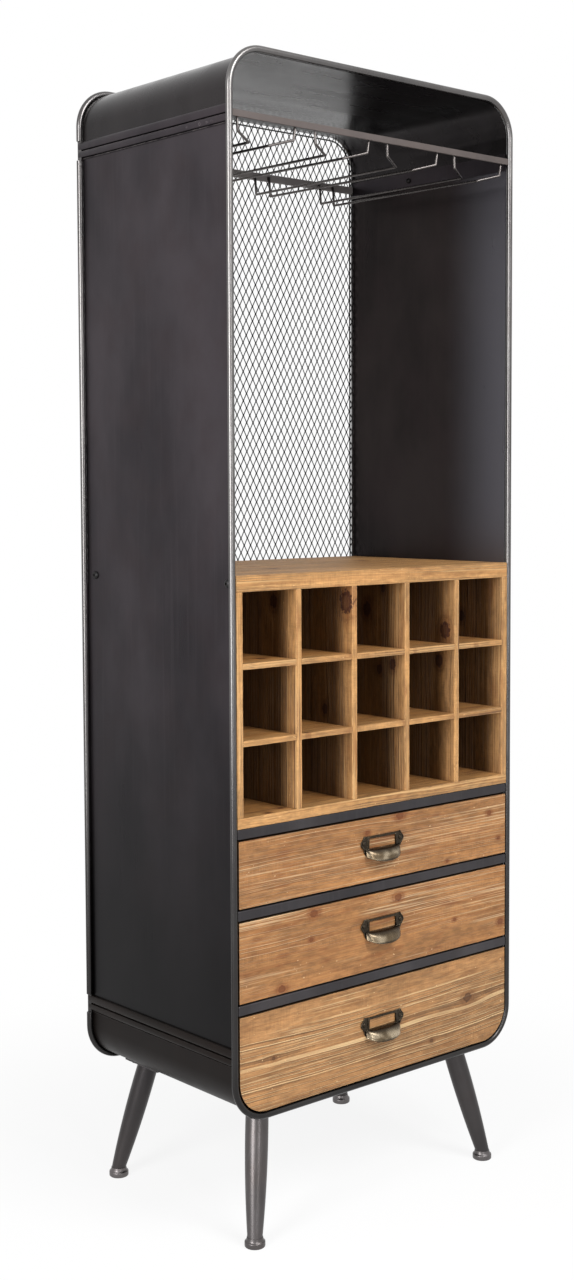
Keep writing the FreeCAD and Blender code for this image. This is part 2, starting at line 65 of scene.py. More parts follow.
# Node trees
class Graph:
    """Short calls that fill a node tree."""

    def __init__(self, tree):
        self.tree = tree
        tree.nodes.clear()

    def node(self, kind, inputs=None, **settings):
        made = self.tree.nodes.new(kind)
        for key, value in settings.items():
            setattr(made, key, value)
        for key, value in (inputs or {}).items():
            self.feed(made.inputs[key], value)
        return made

    def feed(self, socket, value):
        if isinstance(value, bpy.types.NodeSocket):
            self.tree.links.new(value, socket)
        else:
            socket.default_value = value

    def math(self, operation, *values):
        made = self.node("ShaderNodeMath", operation=operation)
        for socket, value in zip(made.inputs, values):
            self.feed(socket, value)
        return made.outputs[0]

    def plus(self, first, second):
        return self.math("ADD", first, second)

    def minus(self, first, second):
        return self.math("SUBTRACT", first, second)

    def times(self, first, second):
        return self.math("MULTIPLY", first, second)

    def over(self, first, second):
        return self.math("DIVIDE", first, second)

    def most(self, first, second):
        return self.math("MAXIMUM", first, second)

    def length(self, first, second):
        """Length of two sides at right angles."""
        return self.math("SQRT", self.plus(self.times(first, first), self.times(second, second)))

    def vector(self, operation, first, second):
        made = self.node("ShaderNodeVectorMath", operation=operation)
        self.feed(made.inputs[0], first)
        self.feed(made.inputs["Scale" if operation == "SCALE" else 1], second)
        return made.outputs["Vector"]

    def ease(self, value, low, high, start=0.0, end=1.0):
        """Smooth change from start to end while the value goes from low to high."""
        inputs = {"Value": value, "From Min": low, "From Max": high, "To Min": start, "To Max": end}
        return self.node("ShaderNodeMapRange", inputs, interpolation_type="SMOOTHSTEP").outputs["Result"]

    def noise(self, place, detail=2.0, rough=0.5):
        inputs = {"Vector": place, "Scale": 1.0, "Detail": detail, "Roughness": rough}
        return self.node("ShaderNodeTexNoise", inputs).outputs[0]

    def mix(self, share, first, second):
        made = self.node("ShaderNodeMix", data_type="RGBA")
        self.feed(made.inputs[0], share)
        self.feed(made.inputs[6], first)
        self.feed(made.inputs[7], second)
        return made.outputs[2]

    def split(self, vector):
        return self.node("ShaderNodeSeparateXYZ", {"Vector": vector}).outputs

    def join(self, x, y, z):
        return self.node("ShaderNodeCombineXYZ", {"X": x, "Y": y, "Z": z}).outputs[0]


def node_group(name, inputs, outputs):
    """New shader group with named sockets."""
    tree = bpy.data.node_groups.new(name, "ShaderNodeTree")
    g = Graph(tree)
    kinds = {"vector": "NodeSocketVector", "value": "NodeSocketFloat", "colour": "NodeSocketColor"}
    for label, kind, value in inputs:
        socket = tree.interface.new_socket(label, in_out="INPUT", socket_type=kinds[kind])
        if value is not None:
            socket.default_value = value
    for label, kind in outputs:
        tree.interface.new_socket(label, in_out="OUTPUT", socket_type=kinds[kind])
    return g, g.node("NodeGroupInput").outputs, g.node("NodeGroupOutput").inputs


def colour(code):
    """Linear colour of a hex code."""
    parts = [int(code[i:i + 2], 16) / 255 for i in (0, 2, 4)]
    return [c / 12.92 if c <= 0.04045 else ((c + 0.055) / 1.055) ** 2.4 for c in parts] + [1.0]


# Effects that several finishes share
def worn_edges():
    """Mask that is strong along outside edges and broken up by noise."""
    g, given, out = node_group("worn edges", [
        ("Vector", "vector", None), ("Radius", "value", 0.0015)], [("Mask", "value")])
    rounded = g.node("ShaderNodeBevel", {"Radius": given["Radius"]}, samples=4).outputs[0]
    plain = g.node("ShaderNodeNewGeometry").outputs["Normal"]
    alike = g.node("ShaderNodeVectorMath", {0: rounded, 1: plain}, operation="DOT_PRODUCT").outputs["Value"]
    edge = g.ease(g.minus(1.0, alike), 0.01, 0.16)
    patch = g.noise(g.vector("SCALE", given["Vector"], 70.0), 3.0, 0.6)
    g.feed(out["Mask"], g.times(edge, g.ease(patch, 0.36, 0.62)))
    return g.tree


def steel_patina():
    """Clouds, streaks and specks of raw lacquered steel."""
    g, given, out = node_group("steel patina", [
        ("Vector", "vector", None), ("Brush", "vector", None)],
        [("Clouds", "value"), ("Blotches", "value"), ("Streaks", "value"), ("Specks", "value")])
    place = given["Vector"]
    g.feed(out["Clouds"], g.noise(g.vector("MULTIPLY", place, (4.2, 4.2, 2.3)), 5.0, 0.56))
    g.feed(out["Blotches"], g.ease(g.noise(g.vector("SCALE", place, 13.0), 4.0, 0.6), 0.42, 0.7))
    g.feed(out["Streaks"], g.noise(g.vector("MULTIPLY", place, given["Brush"]), 3.0, 0.55))
    g.feed(out["Specks"], g.ease(g.noise(g.vector("SCALE", place, 380.0), 2.0, 0.5), 0.66, 0.78))
    return g.tree


def fir_knot():
    """One knot: the grain parts round it. Place and size are millimetres along and across the board."""
    g, given, out = node_group("fir knot", [
        ("Vector", "vector", None), ("Place", "vector", None), ("Size", "value", 4.0), ("Side", "value", 0.0),
        ("Core", "value", 0.0), ("Halo", "value", 0.0)],
        [("Side", "value"), ("Core", "value"), ("Halo", "value")])
    along, across, _ = g.split(g.vector("SUBTRACT", given["Vector"], given["Place"]))
    size = given["Size"]

    def far(stretch):
        return g.length(g.over(along, stretch), across)

    rough = g.minus(g.noise(g.vector("SCALE", given["Vector"], 0.22), 3.0), 0.5)
    near = g.over(far(1.3), size)
    edge = g.plus(near, g.times(rough, 1.2))
    middle = g.ease(edge, 0.45, 0.85, 0.78, 1.0)
    core = g.times(middle, g.ease(edge, 0.85, 1.15, 1.0, 0.0))
    outer = g.times(g.ease(edge, 1.35, 1.6), g.ease(edge, 1.6, 1.95, 0.25, 0.0))
    halo = g.ease(g.over(far(1.7), size), 0.8, 2.2, 0.8, 0.0)
    wide = g.over(far(2.6), g.times(size, 2.2))
    bend = g.math("EXPONENT", g.times(g.times(wide, wide), -1.0))
    pushed = g.times(g.times(across, bend), 0.55)
    g.feed(out["Side"], g.minus(given["Side"], pushed))
    g.feed(out["Core"], g.most(given["Core"], g.most(core, outer)))
    g.feed(out["Halo"], g.most(given["Halo"], halo))
    return g.tree


def fir_grain():
    """Brushed fir. The vector runs along, across and through the board, in millimetres from its middle."""
    g, given, out = node_group("fir grain", [
        ("Vector", "vector", None), ("Side", "value", 0.0), ("Core", "value", 0.0), ("Halo", "value", 0.0),
        ("Seed", "value", 0.0), ("Ring", "value", 6.0), ("Pith", "value", 45.0), ("Relief", "value", 1.0),
        ("Early", "colour", None), ("Late", "colour", None), ("Pale", "colour", None),
        ("Knot", "colour", None)],
        [("Color", "colour"), ("Roughness", "value"), ("Height", "value")])
    seed = given["Seed"]
    shift = g.join(*[g.times(seed, stride) for stride in (173.0, 71.0, 37.0)])
    moved = g.vector("ADD", given["Vector"], shift)
    through = g.split(given["Vector"])[2]

    def stretched(along, across, detail=2.0, rough=0.5):
        return g.noise(g.vector("MULTIPLY", moved, (along, across, across)), detail, rough)

    def wander(along, across, size):
        return g.times(g.minus(stretched(along, across), 0.5), size)

    # Yearly rings round a pith line: each ends in a pale crest with a dark hollow beside it, partly the
    # wood's own lines and partly a painted highlight on the crest and painted shade in the hollow
    bends = g.plus(wander(0.0014, 0.005, 36.0), wander(0.006, 0.014, 4.5))
    radius = g.length(g.plus(given["Side"], bends), g.plus(through, given["Pith"]))
    years = g.over(radius, given["Ring"])
    uneven = g.noise(g.join(g.times(years, 0.55), seed, 0.0), 2.0)
    year = g.math("FRACT", g.plus(years, g.times(uneven, 4.0)))
    brushed = g.times(g.ease(stretched(0.0026, 0.02), 0.4, 0.58), given["Relief"])
    late, crest, hollow = [g.times(g.ease(year, *rise), g.ease(year, *fall, 1.0, 0.0)) for rise, fall in (
        ((0.1, 0.5), (0.5, 0.55)), ((0.47, 0.56), (0.6, 0.7)), ((0.66, 0.72), (0.78, 0.94)))]

    # Fibres, hair lines, saw marks, dark pores, smudges and chips
    fine = g.ease(stretched(0.024, 0.7, 2.0, 0.6), 0.3, 0.7)
    mottle = g.ease(stretched(0.045, 0.13, 3.0, 0.6), 0.34, 0.66)
    broad = g.ease(stretched(0.0045, 0.022), 0.36, 0.64)
    hair = g.ease(stretched(0.004, 0.42, 1.0), 0.54, 0.66)
    hair = g.times(hair, g.ease(stretched(0.004, 0.028), 0.42, 0.6))
    sawn = g.ease(stretched(0.42, 0.05), 0.36, 0.64)
    sawn = g.times(sawn, g.ease(stretched(0.008, 0.03), 0.45, 0.6))
    pores = g.ease(stretched(0.035, 0.6), 0.66, 0.78)
    smudge = g.ease(stretched(0.011, 0.05, 3.0, 0.62), 0.54, 0.7)
    chips = g.ease(stretched(0.16, 0.24, 1.0), 0.75, 0.79)
    level = 0.52
    for part, share in ((fine, 0.26), (mottle, 0.34), (broad, 0.3), (sawn, 0.16)):
        level = g.plus(g.times(part, share), level)
    tone = g.vector("SCALE", given["Early"], level)
    # crest: pale line and painted highlight; hollow: dark line and painted shade
    bare, hollow_dark_and_shaded = g.times(crest, brushed), g.times(hollow, brushed)
    for share, part, stain in (
            (0.36, late, "Late"), (0.55, smudge, "Late"), (0.5, hair, "Pale"), (0.45, pores, "Knot"),
            (0.72, bare, "Pale"), (0.62, hollow_dark_and_shaded, "Knot"), (0.7, chips, "Pale"),
            (0.75, given["Halo"], "Late"), (0.95, given["Core"], "Knot")):
        tone = g.mix(g.times(part, share), tone, given[stain])
    g.feed(out["Color"], tone)
    g.feed(out["Roughness"], g.plus(g.times(fine, 0.2), 0.42))
    raised = g.plus(g.times(brushed, 0.8), 0.2)
    ridge = g.times(g.minus(crest, hollow), raised)
    ridge = g.plus(ridge, g.times(g.plus(fine, mottle), 0.3))
    g.feed(out["Height"], g.minus(ridge, g.times(pores, 0.4)))
    return g.tree


def brass_tarnish():
    """Brown tarnish in the hollows and rubbed metal on what stands proud."""
    g, given, out = node_group("brass tarnish", [
        ("Vector", "vector", None)], [("Rubbed", "value"), ("Spots", "value")])
    open_sky = g.node("ShaderNodeAmbientOcclusion", {"Distance": 0.009}, samples=6).outputs["AO"]
    patch = g.noise(g.vector("SCALE", given["Vector"], 190.0), 4.0, 0.6)
    level = g.plus(g.times(open_sky, 0.75), g.times(patch, 0.5))
    g.feed(out["Rubbed"], g.ease(level, 0.62, 1.05))
    g.feed(out["Spots"], g.noise(g.vector("SCALE", given["Vector"], 620.0), 3.0, 0.6))
    return g.tree


EDGES = worn_edges()
PATINA = steel_patina()
KNOT = fir_knot()
GRAIN = fir_grain()
TARNISH = brass_tarnish()


# Finishes
def bare_finish(name):
    """New material without nodes."""
    made = bpy.data.materials.new(name)
    made.use_nodes = True
    return made, Graph(made.node_tree)


def new_finish(name):
    """New material with a shader, and the place on the cabinet in metres."""
    made, g = bare_finish(name)
    shader = g.node("ShaderNodeBsdfPrincipled")
    g.node("ShaderNodeOutputMaterial", {"Surface": shader.outputs["BSDF"]})
    place = g.node("ShaderNodeTexCoord").outputs["Object"]
    return made, g, shader.inputs, place


def placed(g, tree, inputs):
    """A shared effect placed in a material with its own values."""
    return g.node("ShaderNodeGroup", inputs, node_tree=tree).outputs


def facing(g, axis):
    """How far a surface faces along an axis, from minus one to one."""
    return g.split(g.node("ShaderNodeNewGeometry").outputs["Normal"])[axis]


def bumped(g, shader, height, strength, distance):
    bump = g.node("ShaderNodeBump", {"Height": height, "Strength": strength, "Distance": distance})
    g.feed(shader["Normal"], bump.outputs[0])


UPWARD = (150.0, 150.0, 4.0)    # brush marks that run up and down
SIDEWAYS = (2.2, 14.0, 14.0)    # brush marks that run from side to side
LOW_SHADE_HEIGHTS = (0.28, 1.1)              # heights in metres between which the painted shade near the floor gives way to the full tone
SHEEN_SPAN = (-0.19, -0.03)         # places in metres between which the painted sheen fades out, from the front


def steel(name, dark, light, rust, rough, metal=0.85, rub="8d8581", wear=0.4, coat=0.0, brush=UPWARD,
          low_shade=1.0, streaky=0.3, painted_sheen=None):
    """Lacquered steel: cloudy tone between two colours, brown blotches, and bare metal along worn edges.

    Low_shade is how much of the tone is left near the floor, a painted shade that darkens it towards the
    bottom, and streaky the share of the brush marks.
    Painted_sheen is a paler tone painted as a reflection on a right-hand panel's inside near its front edge.
    """
    made, g, shader, place = new_finish(name)
    patina = placed(g, PATINA, {"Vector": place, "Brush": brush})
    tone = g.mix(g.ease(patina["Clouds"], 0.3, 0.7), colour(dark), colour(light))
    tone = g.mix(g.times(patina["Blotches"], 0.28), tone, colour(rust))
    tone = g.mix(g.times(g.ease(patina["Streaks"], 0.5, 0.8), streaky), tone, colour(light))
    # painted shade: the tone darkens towards the floor
    if low_shade < 1.0:
        tone = g.vector("SCALE", tone, g.ease(g.split(place)[2], *LOW_SHADE_HEIGHTS, low_shade, 1.0))
    # painted reflection: a paler sheen on the panel's inside near its front edge
    if painted_sheen:
        inside = g.ease(facing(g, 0), -0.9, -0.5, 1.0, 0.0)
        near_front = g.ease(g.split(place)[1], *SHEEN_SPAN, 1.0, 0.0)
        tone = g.mix(g.times(near_front, inside), tone, colour(painted_sheen))
    if wear:
        edge = placed(g, EDGES, {"Vector": place, "Radius": 0.0012})["Mask"]
        tone = g.mix(g.times(edge, wear), tone, colour(rub))
    g.feed(shader["Base Color"], tone)
    spread = g.plus(g.times(patina["Clouds"], 1.0 - streaky),
                    g.times(patina["Streaks"], streaky))
    g.feed(shader["Roughness"], g.ease(spread, 0.28, 0.72, *rough))
    shader["Metallic"].default_value = metal
    shader["Coat Weight"].default_value = coat
    shader["Coat Roughness"].default_value = 0.2
    bumped(g, shader, patina["Specks"], 0.1, 0.0002)
    return made


UNFINISHED_AND_SHADE_STEP = (0.5, 4.0)           # how far behind the face the wood takes its first darker tone, as unfinished wood and painted shade
UNFINISHED_AND_SHADE_SHARE = 0.34                # share of the darker tone that the step gives
UNFINISHED_AND_SHADE_DEPTH = 44.0                # how far behind the face the wood takes the whole darker tone
RIM_STAIN_AND_SHADE = "170e08"


def fir(name, axes, middle, seed, tones, ring=6.0, pith=45.0, heart=None, knots=(), relief=1.0, inner=1.0,
        worn=0.6, rim=0.0):
    """Brushed fir board. Axes run along, across and through it, and middle is the board's middle.

    Heart is the pith's place across the board. Each knot has a place along and across, and a size. Inner is
    how much of the tone is left behind the cabinet's face, where the wood is unfinished and painted shade
    darkens it. Worn is how pale the edges are rubbed, and rim how dark the board's narrow sides are, as stain
    and painted shade of the gaps beside them.
    """
    made, g, shader, place = new_finish(name)
    order = ["XYZ".index(a) for a in axes]
    parts = g.split(g.vector("SCALE", place, 1 / MM))
    turned = g.vector("SUBTRACT", g.join(*[parts[i] for i in order]), [middle[i] for i in order])
    heart = middle[order[1]] if heart is None else heart
    flow = {"Side": g.minus(parts[order[1]], heart), "Core": 0.0, "Halo": 0.0}
    for along, across, size in knots:
        spot = (along - middle[order[0]], across - middle[order[1]], 0.0)
        outputs = placed(g, KNOT, {"Vector": turned, "Place": spot, "Size": size, **flow})
        flow = {key: outputs[key] for key in flow}
    early, late, pale, knot = [colour(c) for c in tones]
    grain = placed(g, GRAIN, {"Vector": turned, "Seed": seed, "Ring": ring, "Pith": pith, "Relief": relief,
                              "Early": early, "Late": late, "Pale": pale, "Knot": knot, **flow})
    edge = placed(g, EDGES, {"Vector": place, "Radius": 0.0018})["Mask"]
    tone = g.mix(g.times(edge, worn), grain["Color"], pale)
    # dark narrow sides: stain, and painted shade of the gaps round the drawer fronts
    if rim:
        narrow = g.ease(g.math("ABSOLUTE", facing(g, order[2])), 0.55, 0.95, rim, 0.0)
        tone = g.mix(narrow, tone, colour(RIM_STAIN_AND_SHADE))
    # unfinished wood behind the face, with painted shade deeper in the cells
    if inner < 1.0:
        unfinished_and_shaded = g.vector("MULTIPLY", tone, (inner, inner * 0.88, inner * 0.7))
        behind = g.minus(parts[1], FACE)
        step = g.ease(behind, *UNFINISHED_AND_SHADE_STEP, 0.0, UNFINISHED_AND_SHADE_SHARE)
        tone = g.mix(g.most(step, g.ease(behind, 0.0, UNFINISHED_AND_SHADE_DEPTH)), tone, unfinished_and_shaded)
    g.feed(shader["Base Color"], tone)
    g.feed(shader["Roughness"], grain["Roughness"])
    shader["Specular IOR Level"].default_value = 0.35
    bumped(g, shader, grain["Height"], 0.7, 0.0008)
    return made


def antique_brass(name, top):
    """Tarnished brass of one pull, with a painted highlight low on the cup and painted shade above and below
    it. Top is the height of the pull's top.
    """
    made, g, shader, place = new_finish(name)
    tarnish = placed(g, TARNISH, {"Vector": place})
    edge = placed(g, EDGES, {"Vector": place, "Radius": 0.0009})["Mask"]
    drop = g.minus(top * MM, g.split(place)[2])
    # painted highlight: paler patches over the cup
    patch = g.noise(g.vector("SCALE", place, 52.0), 1.0)
    painted_highlight = g.mix(g.ease(patch, 0.36, 0.66), colour("75654f"), colour("cdbb9f"))
    # painted shade on the upper cup, under the frame
    cup_light_and_shade = g.mix(g.ease(drop, 0.022, 0.032), colour("433a2f"), painted_highlight)
    tone = g.mix(tarnish["Rubbed"], colour("17130f"), cup_light_and_shade)
    tone = g.mix(g.times(tarnish["Spots"], 0.45), tone, colour("2a241d"))
    # bright edges: wear, and a painted highlight on the rims of the ears
    tone = g.mix(g.times(edge, 0.85), tone, colour("d0c2a8"))
    # painted shade along the cup's lowest edge
    tone = g.mix(g.ease(drop, 0.0355, 0.039, 0.0, 0.85), tone, colour("2a231c"))
    g.feed(shader["Base Color"], tone)
    g.feed(shader["Roughness"], g.ease(tarnish["Spots"], 0.3, 0.75, 0.2, 0.36))
    shader["Metallic"].default_value = 0.95
    bumped(g, shader, tarnish["Spots"], 0.3, 0.0003)
    return made


SKIN = steel("skin steel", "272327", "423c40", "33282a", (0.26, 0.38), metal=0.93, rub="565050", wear=0.5,
             coat=0.04, low_shade=0.1)
# darker copy of the skin steel as painted shade, with a painted sheen near the front of its inside
SHADED_RIGHT_SKIN = steel("shaded right skin steel", "1f1a1a", "352e2d", "33282a", (0.26, 0.38), metal=0.93, rub="565050",
                   wear=0.5, coat=0.04, low_shade=0.1, painted_sheen="636167")
CAP = steel("cap steel", "1a1718", "302c2d", "282322", (0.18, 0.36), metal=0.9, rub="565050", wear=0.5,
            coat=0.1, brush=SIDEWAYS, streaky=0.7)
# darker copy of the skin steel for the bottom sheet: painted shade against the floor's reflection
PAN = steel("pan steel", "140f0d", "1f1a18", "1f1612", (0.46, 0.6), metal=0.9, rub="4a4545", brush=SIDEWAYS)
BAR = steel("bar steel", "595757", "72706f", "5c5552", (0.24, 0.34), metal=0.95, rub="a6a3a2", low_shade=0.3)
FRONT_FLAT = steel("front flat steel", "403937", "544b48", "463b36", (0.5, 0.65), metal=0.3)
# lighter copy of the front bar's steel: painted light on the rear bar, which stands in shade
LIT_REAR_FLAT = steel("lit rear flat steel", "716c6b", "8d8887", "6b615c", (0.5, 0.65), metal=0.3)
# bright rubbed edges, partly wear and partly a painted highlight along the bands' edges
UPPER_STRIP = steel("upper strip steel", "272327", "423c40", "33282a", (0.26, 0.38), metal=0.93, rub="a09896",
                    wear=0.85, coat=0.04)
# darker copy of the upper strips' steel: painted shade near the floor
LOWER_STRIP = steel("lower strip steel", "17120f", "241e1c", "241a16", (0.4, 0.55), metal=0.9, rub="5b5553",
                    wear=0.5)
RAIL = steel("rail steel", "353335", "4c494b", "3d3633", (0.3, 0.42), metal=0.8, wear=0.6)
# shaded and lit copies of one leg steel: the darker one is painted shade on the other legs, the lighter one
# painted light on the front left leg and the feet
SHADED_LEG = steel("leg steel", "343233", "484545", "3f3835", (0.34, 0.44), metal=0.95, rub="98928f")
LIT_LEG = steel("front leg steel", "4f4c4c", "6a6666", "564d49", (0.32, 0.42), metal=0.95, rub="a39d9a")
WIRE = steel("wire steel", "484443", "6e6967", "4d4541", (0.22, 0.34), metal=0.95, wear=0.0)
MESH = steel("mesh steel", "0c0b0c", "1a1818", "171312", (0.5, 0.65), metal=0.5, wear=0.0)
BLACK = steel("black fasteners", "141314", "282627", "201b1a", (0.34, 0.5), metal=0.7, rub="55504e", wear=0.5)

# Tones of fir: early wood, late wood, pale crests and rubbed edges, knots
DRAWER_TONES = ("976a3f", "733f1c", "dabb92", "643412")
LOW_DRAWER_TONES = ("9b7147", "744b28", "dfbf8f", "4d2f16")
RACK_TONES = ("ab8050", "784925", "d6ad78", "3d1a10")
BOX_TONES = ("cfa674", "b58a57", "e5c695", "6a4526")


# Forms
ROUND_END = ((0.3, 0.86), (0.5, 0.5))   # rings past the end of a wire: shares of its radius ahead and round
EASED_ANGLE = math.radians(30)          # edges that turn more than this are eased
GRAIN_SWELL = 24.0                      # size of the swells in a board's surface


class Form:
    """Points and faces of one piece, in millimetres."""

    def __init__(self):
        self.points = []
        self.faces = []

    def add(self, points, faces):
        start = len(self.points)
        self.points.extend(Vector(p) for p in points)
        self.faces.extend([start + i for i in face] for face in faces)
        return self

    def skin(self, rings, closed=False):
        """Surface over rings of points, capped at both ends unless the path is closed."""
        count, sides = len(rings), len(rings[0])
        faces = []
        for i in range(count if closed else count - 1):
            j = (i + 1) % count
            for k in range(sides):
                n = (k + 1) % sides
                faces.append([i * sides + k, i * sides + n, j * sides + n, j * sides + k])
        if not closed:
            faces.append(list(range(sides)))
            faces.append([(count - 1) * sides + k for k in range(sides)])
        return self.add([p for ring in rings for p in ring], faces)

    def prism(self, outline, axis, low, high):
        """Outline in the two other axes, in x, y, z order, drawn from low to high along the axis."""
        def put(point, level):
            values = list(point)
            values.insert("xyz".index(axis), level)
            return values
        return self.skin([[put(p, level) for p in outline] for level in (low, high)])

    def block(self, low, high):
        """Straight bar between two corners."""
        (x0, y0, z0), (x1, y1, z1) = low, high
        return self.prism([(y0, z0), (y1, z0), (y1, z1), (y0, z1)], "x", x0, x1)

    def tube(self, path, radius, sides=16):
        """Round wire along a path, with softly rounded ends."""
        last = len(path) - 1
        aims = [(path[min(i + 1, last)] - path[max(i - 1, 0)]).normalized() for i in range(last + 1)]
        across = aims[0].orthogonal().normalized()
        rings = []
        for i, (point, aim) in enumerate(zip(path, aims)):
            across = (across - aim * across.dot(aim)).normalized()
            upward = aim.cross(across)
            ring = [across * math.cos(t) + upward * math.sin(t) for t in turns(sides)]
            steps = [(-ahead, share) for ahead, share in reversed(ROUND_END)] if i == 0 else []
            steps.append((0.0, 1.0))
            if i == last:
                steps.extend(ROUND_END)
            for ahead, share in steps:
                rings.append([point + aim * radius * ahead + r * radius * share for r in ring])
        return self.skin(rings)

    def turned(self, profile, place, out, sides=40):
        """Lathe form: (radius, height) pairs along the direction out."""
        out = Vector(out)
        across = out.orthogonal().normalized()
        upward = out.cross(across)
        ring = [across * math.cos(t) + upward * math.sin(t) for t in turns(sides)]
        return self.skin([[Vector(place) + out * h + r * radius for r in ring] for radius, h in profile])

    def mirror(self):
        """Adds the same form on the other side, left to right."""
        points = [Vector((-p.x, p.y, p.z)) for p in self.points]
        return self.add(points, [list(f) for f in self.faces])


def turns(count):
    return [2 * math.pi * i / count for i in range(count)]


def arc(cx, cz, radius, start, end, steps):
    """Points of an arc, angles in degrees."""
    angles = [math.radians(start + (end - start) * i / steps) for i in range(steps + 1)]
    return [(cx + radius * math.cos(a), cz + radius * math.sin(a)) for a in angles]


def bent(points, radius, steps=7):
    """Path with its corners rounded."""
    points = [Vector(p) for p in points]
    path = [points[0]]
    for last, point, following in zip(points, points[1:], points[2:]):
        back, ahead = (last - point).normalized(), (following - point).normalized()
        half = back.angle(ahead) / 2
        reach = radius / math.tan(half)
        middle = point + (back + ahead).normalized() * (radius / math.sin(half))
        first = point + back * reach - middle
        final = point + ahead * reach - middle
        path += [middle + first.slerp(final, i / steps) for i in range(steps + 1)]
    return path + [points[-1]]


def rough_up(bm, amount, spacing, along):
    """Cuts a board across at even steps and lets its surface wander a little, as worked wood does."""
    axis = "XYZ".index(along)
    low = min(v.co[axis] for v in bm.verts)
    high = max(v.co[axis] for v in bm.verts)
    count = max(1, round((high - low) / (spacing * MM)))
    aim = Vector([1.0 if i == axis else 0.0 for i in range(3)])
    for i in range(1, count):
        geom = bm.verts[:] + bm.edges[:] + bm.faces[:]
        cut = aim * (low + (high - low) * i / count)
        bmesh.ops.bisect_plane(bm, geom=geom, dist=1e-6, plane_co=cut, plane_no=aim)
    for vert in bm.verts:
        shift = noise.noise_vector(vert.co / (GRAIN_SWELL * MM)) * amount * MM
        shift[axis] = 0.0
        vert.co += shift


def put(name, data):
    """New object in the scene."""
    made = bpy.data.objects.new(name, data)
    bpy.context.scene.collection.objects.link(made)
    return made


def piece(name, form, finish, slot, nodes=(), body="cabinet", ease=0.0, segments=2, sharp=38.0, wander=None):
    """Makes the object of one form, with its finish, body and the CAD nodes that it stands for. Slot is not
    used.
    """
    bm = bmesh.new()
    verts = [bm.verts.new(p * MM) for p in form.points]
    for face in form.faces:
        bm.faces.new([verts[i] for i in face])
    bmesh.ops.recalc_face_normals(bm, faces=bm.faces)
    if ease:
        edges = [e for e in bm.edges if e.is_manifold and e.calc_face_angle(0.0) > EASED_ANGLE]
        bmesh.ops.bevel(bm, geom=edges, offset=ease * MM, segments=segments, profile=0.5, affect="EDGES",
                        clamp_overlap=True)
    if wander:
        rough_up(bm, *wander)
    mesh = bpy.data.meshes.new(name)
    bm.to_mesh(mesh)
    bm.free()
    mesh.polygons.foreach_set("use_smooth", [True] * len(mesh.polygons))
    mesh.set_sharp_from_angle(angle=math.radians(sharp))
    mesh.materials.append(finish)
    made = put(name, mesh)
    if ease:
        made.modifiers.new("even shading", "WEIGHTED_NORMAL").keep_sharp = True
    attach(made, body)
    if nodes:
        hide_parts(*nodes)
    return made


def dress(finish, *nodes):
    """Gives CAD nodes that stay a better finish."""
    for node in nodes:
        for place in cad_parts[node].material_slots:
            place.material = finish


# Loops
BAR_RADIUS = 5.0
BAR_SIDES = 28
CORNER = 60.0               # middle of the bar at the corners
CORNER_STEPS = 20
STRIP_HALF = 14.0           # half the height of a seam strip
PRESSED = 0.4               # middle of the bar to its outside where a strip is let in
PRESS_EDGES = (0.2, 1.6)    # edge of a strip to both ends of the slope beside it
front_low, front_high = span("front_loop")
rear_low, rear_high = span("rear_loop")
panel_low, panel_high = span("left_side_panel")
loop_half = front_high[0] - BAR_RADIUS
loop_low, loop_high = front_low[2] + BAR_RADIUS, front_high[2] - BAR_RADIUS
front_y, rear_y = (front_low[1] + front_high[1]) / 2, (rear_low[1] + rear_high[1]) / 2
lower_seam, upper_seam = panel_low[2], panel_high[2]


def loop_form(y, notches):
    """Bent bar. Where a seam strip is let in, its outside is pressed flat."""
    reaches = [way * (STRIP_HALF + edge) for way in (-1, 1) for edge in PRESS_EDGES]
    levels = sorted(seam + reach for seam in notches for reach in reaches)
    path = []
    for side, level, start in ((-1, -1, 180), (1, -1, 270), (1, 1, 0), (-1, 1, 90)):
        cx = side * (loop_half - CORNER)
        cz = loop_low + CORNER if level < 0 else loop_high - CORNER
        angles = [math.radians(start + 90 * i / CORNER_STEPS) for i in range(CORNER_STEPS + 1)]
        outward = [(math.cos(a), math.sin(a)) for a in angles]
        path += [((cx + CORNER * ox, cz + CORNER * oz), (ox, oz)) for ox, oz in outward]
        if (side, level) == (1, -1):
            path += [((loop_half, z), (1, 0)) for z in levels]
        if (side, level) == (-1, 1):
            path += [((-loop_half, z), (-1, 0)) for z in reversed(levels)]
    within = STRIP_HALF + sum(PRESS_EDGES) / 2
    rings = []
    for (x, z), (ox, oz) in path:
        pressed = abs(ox) == 1 and any(abs(z - seam) < within for seam in notches)
        ring = []
        for t in turns(BAR_SIDES):
            reach = BAR_RADIUS * math.cos(t)
            if pressed:
                reach = min(reach, PRESSED)
            ring.append((x + ox * reach, y + BAR_RADIUS * math.sin(t), z + oz * reach))
        rings.append(ring)
    return Form().skin(rings, closed=True)


piece("front_loop_bar", loop_form(front_y, ()), BAR, "bar_steel", ["front_loop"])
piece("rear_loop_bar", loop_form(rear_y, (upper_seam, lower_seam)), BAR, "bar_steel", ["rear_loop"])


# Skin
INSIDE = loop_half - BAR_RADIUS         # middle of the cabinet to the inside of its skin
INSIDE_RADIUS = CORNER - BAR_RADIUS
SHEET = 1.5
BEND_STEPS = 24
BEND_X = loop_half - CORNER             # centre of the bends
BEND_LOW, BEND_HIGH = loop_low + CORNER, loop_high - CORNER


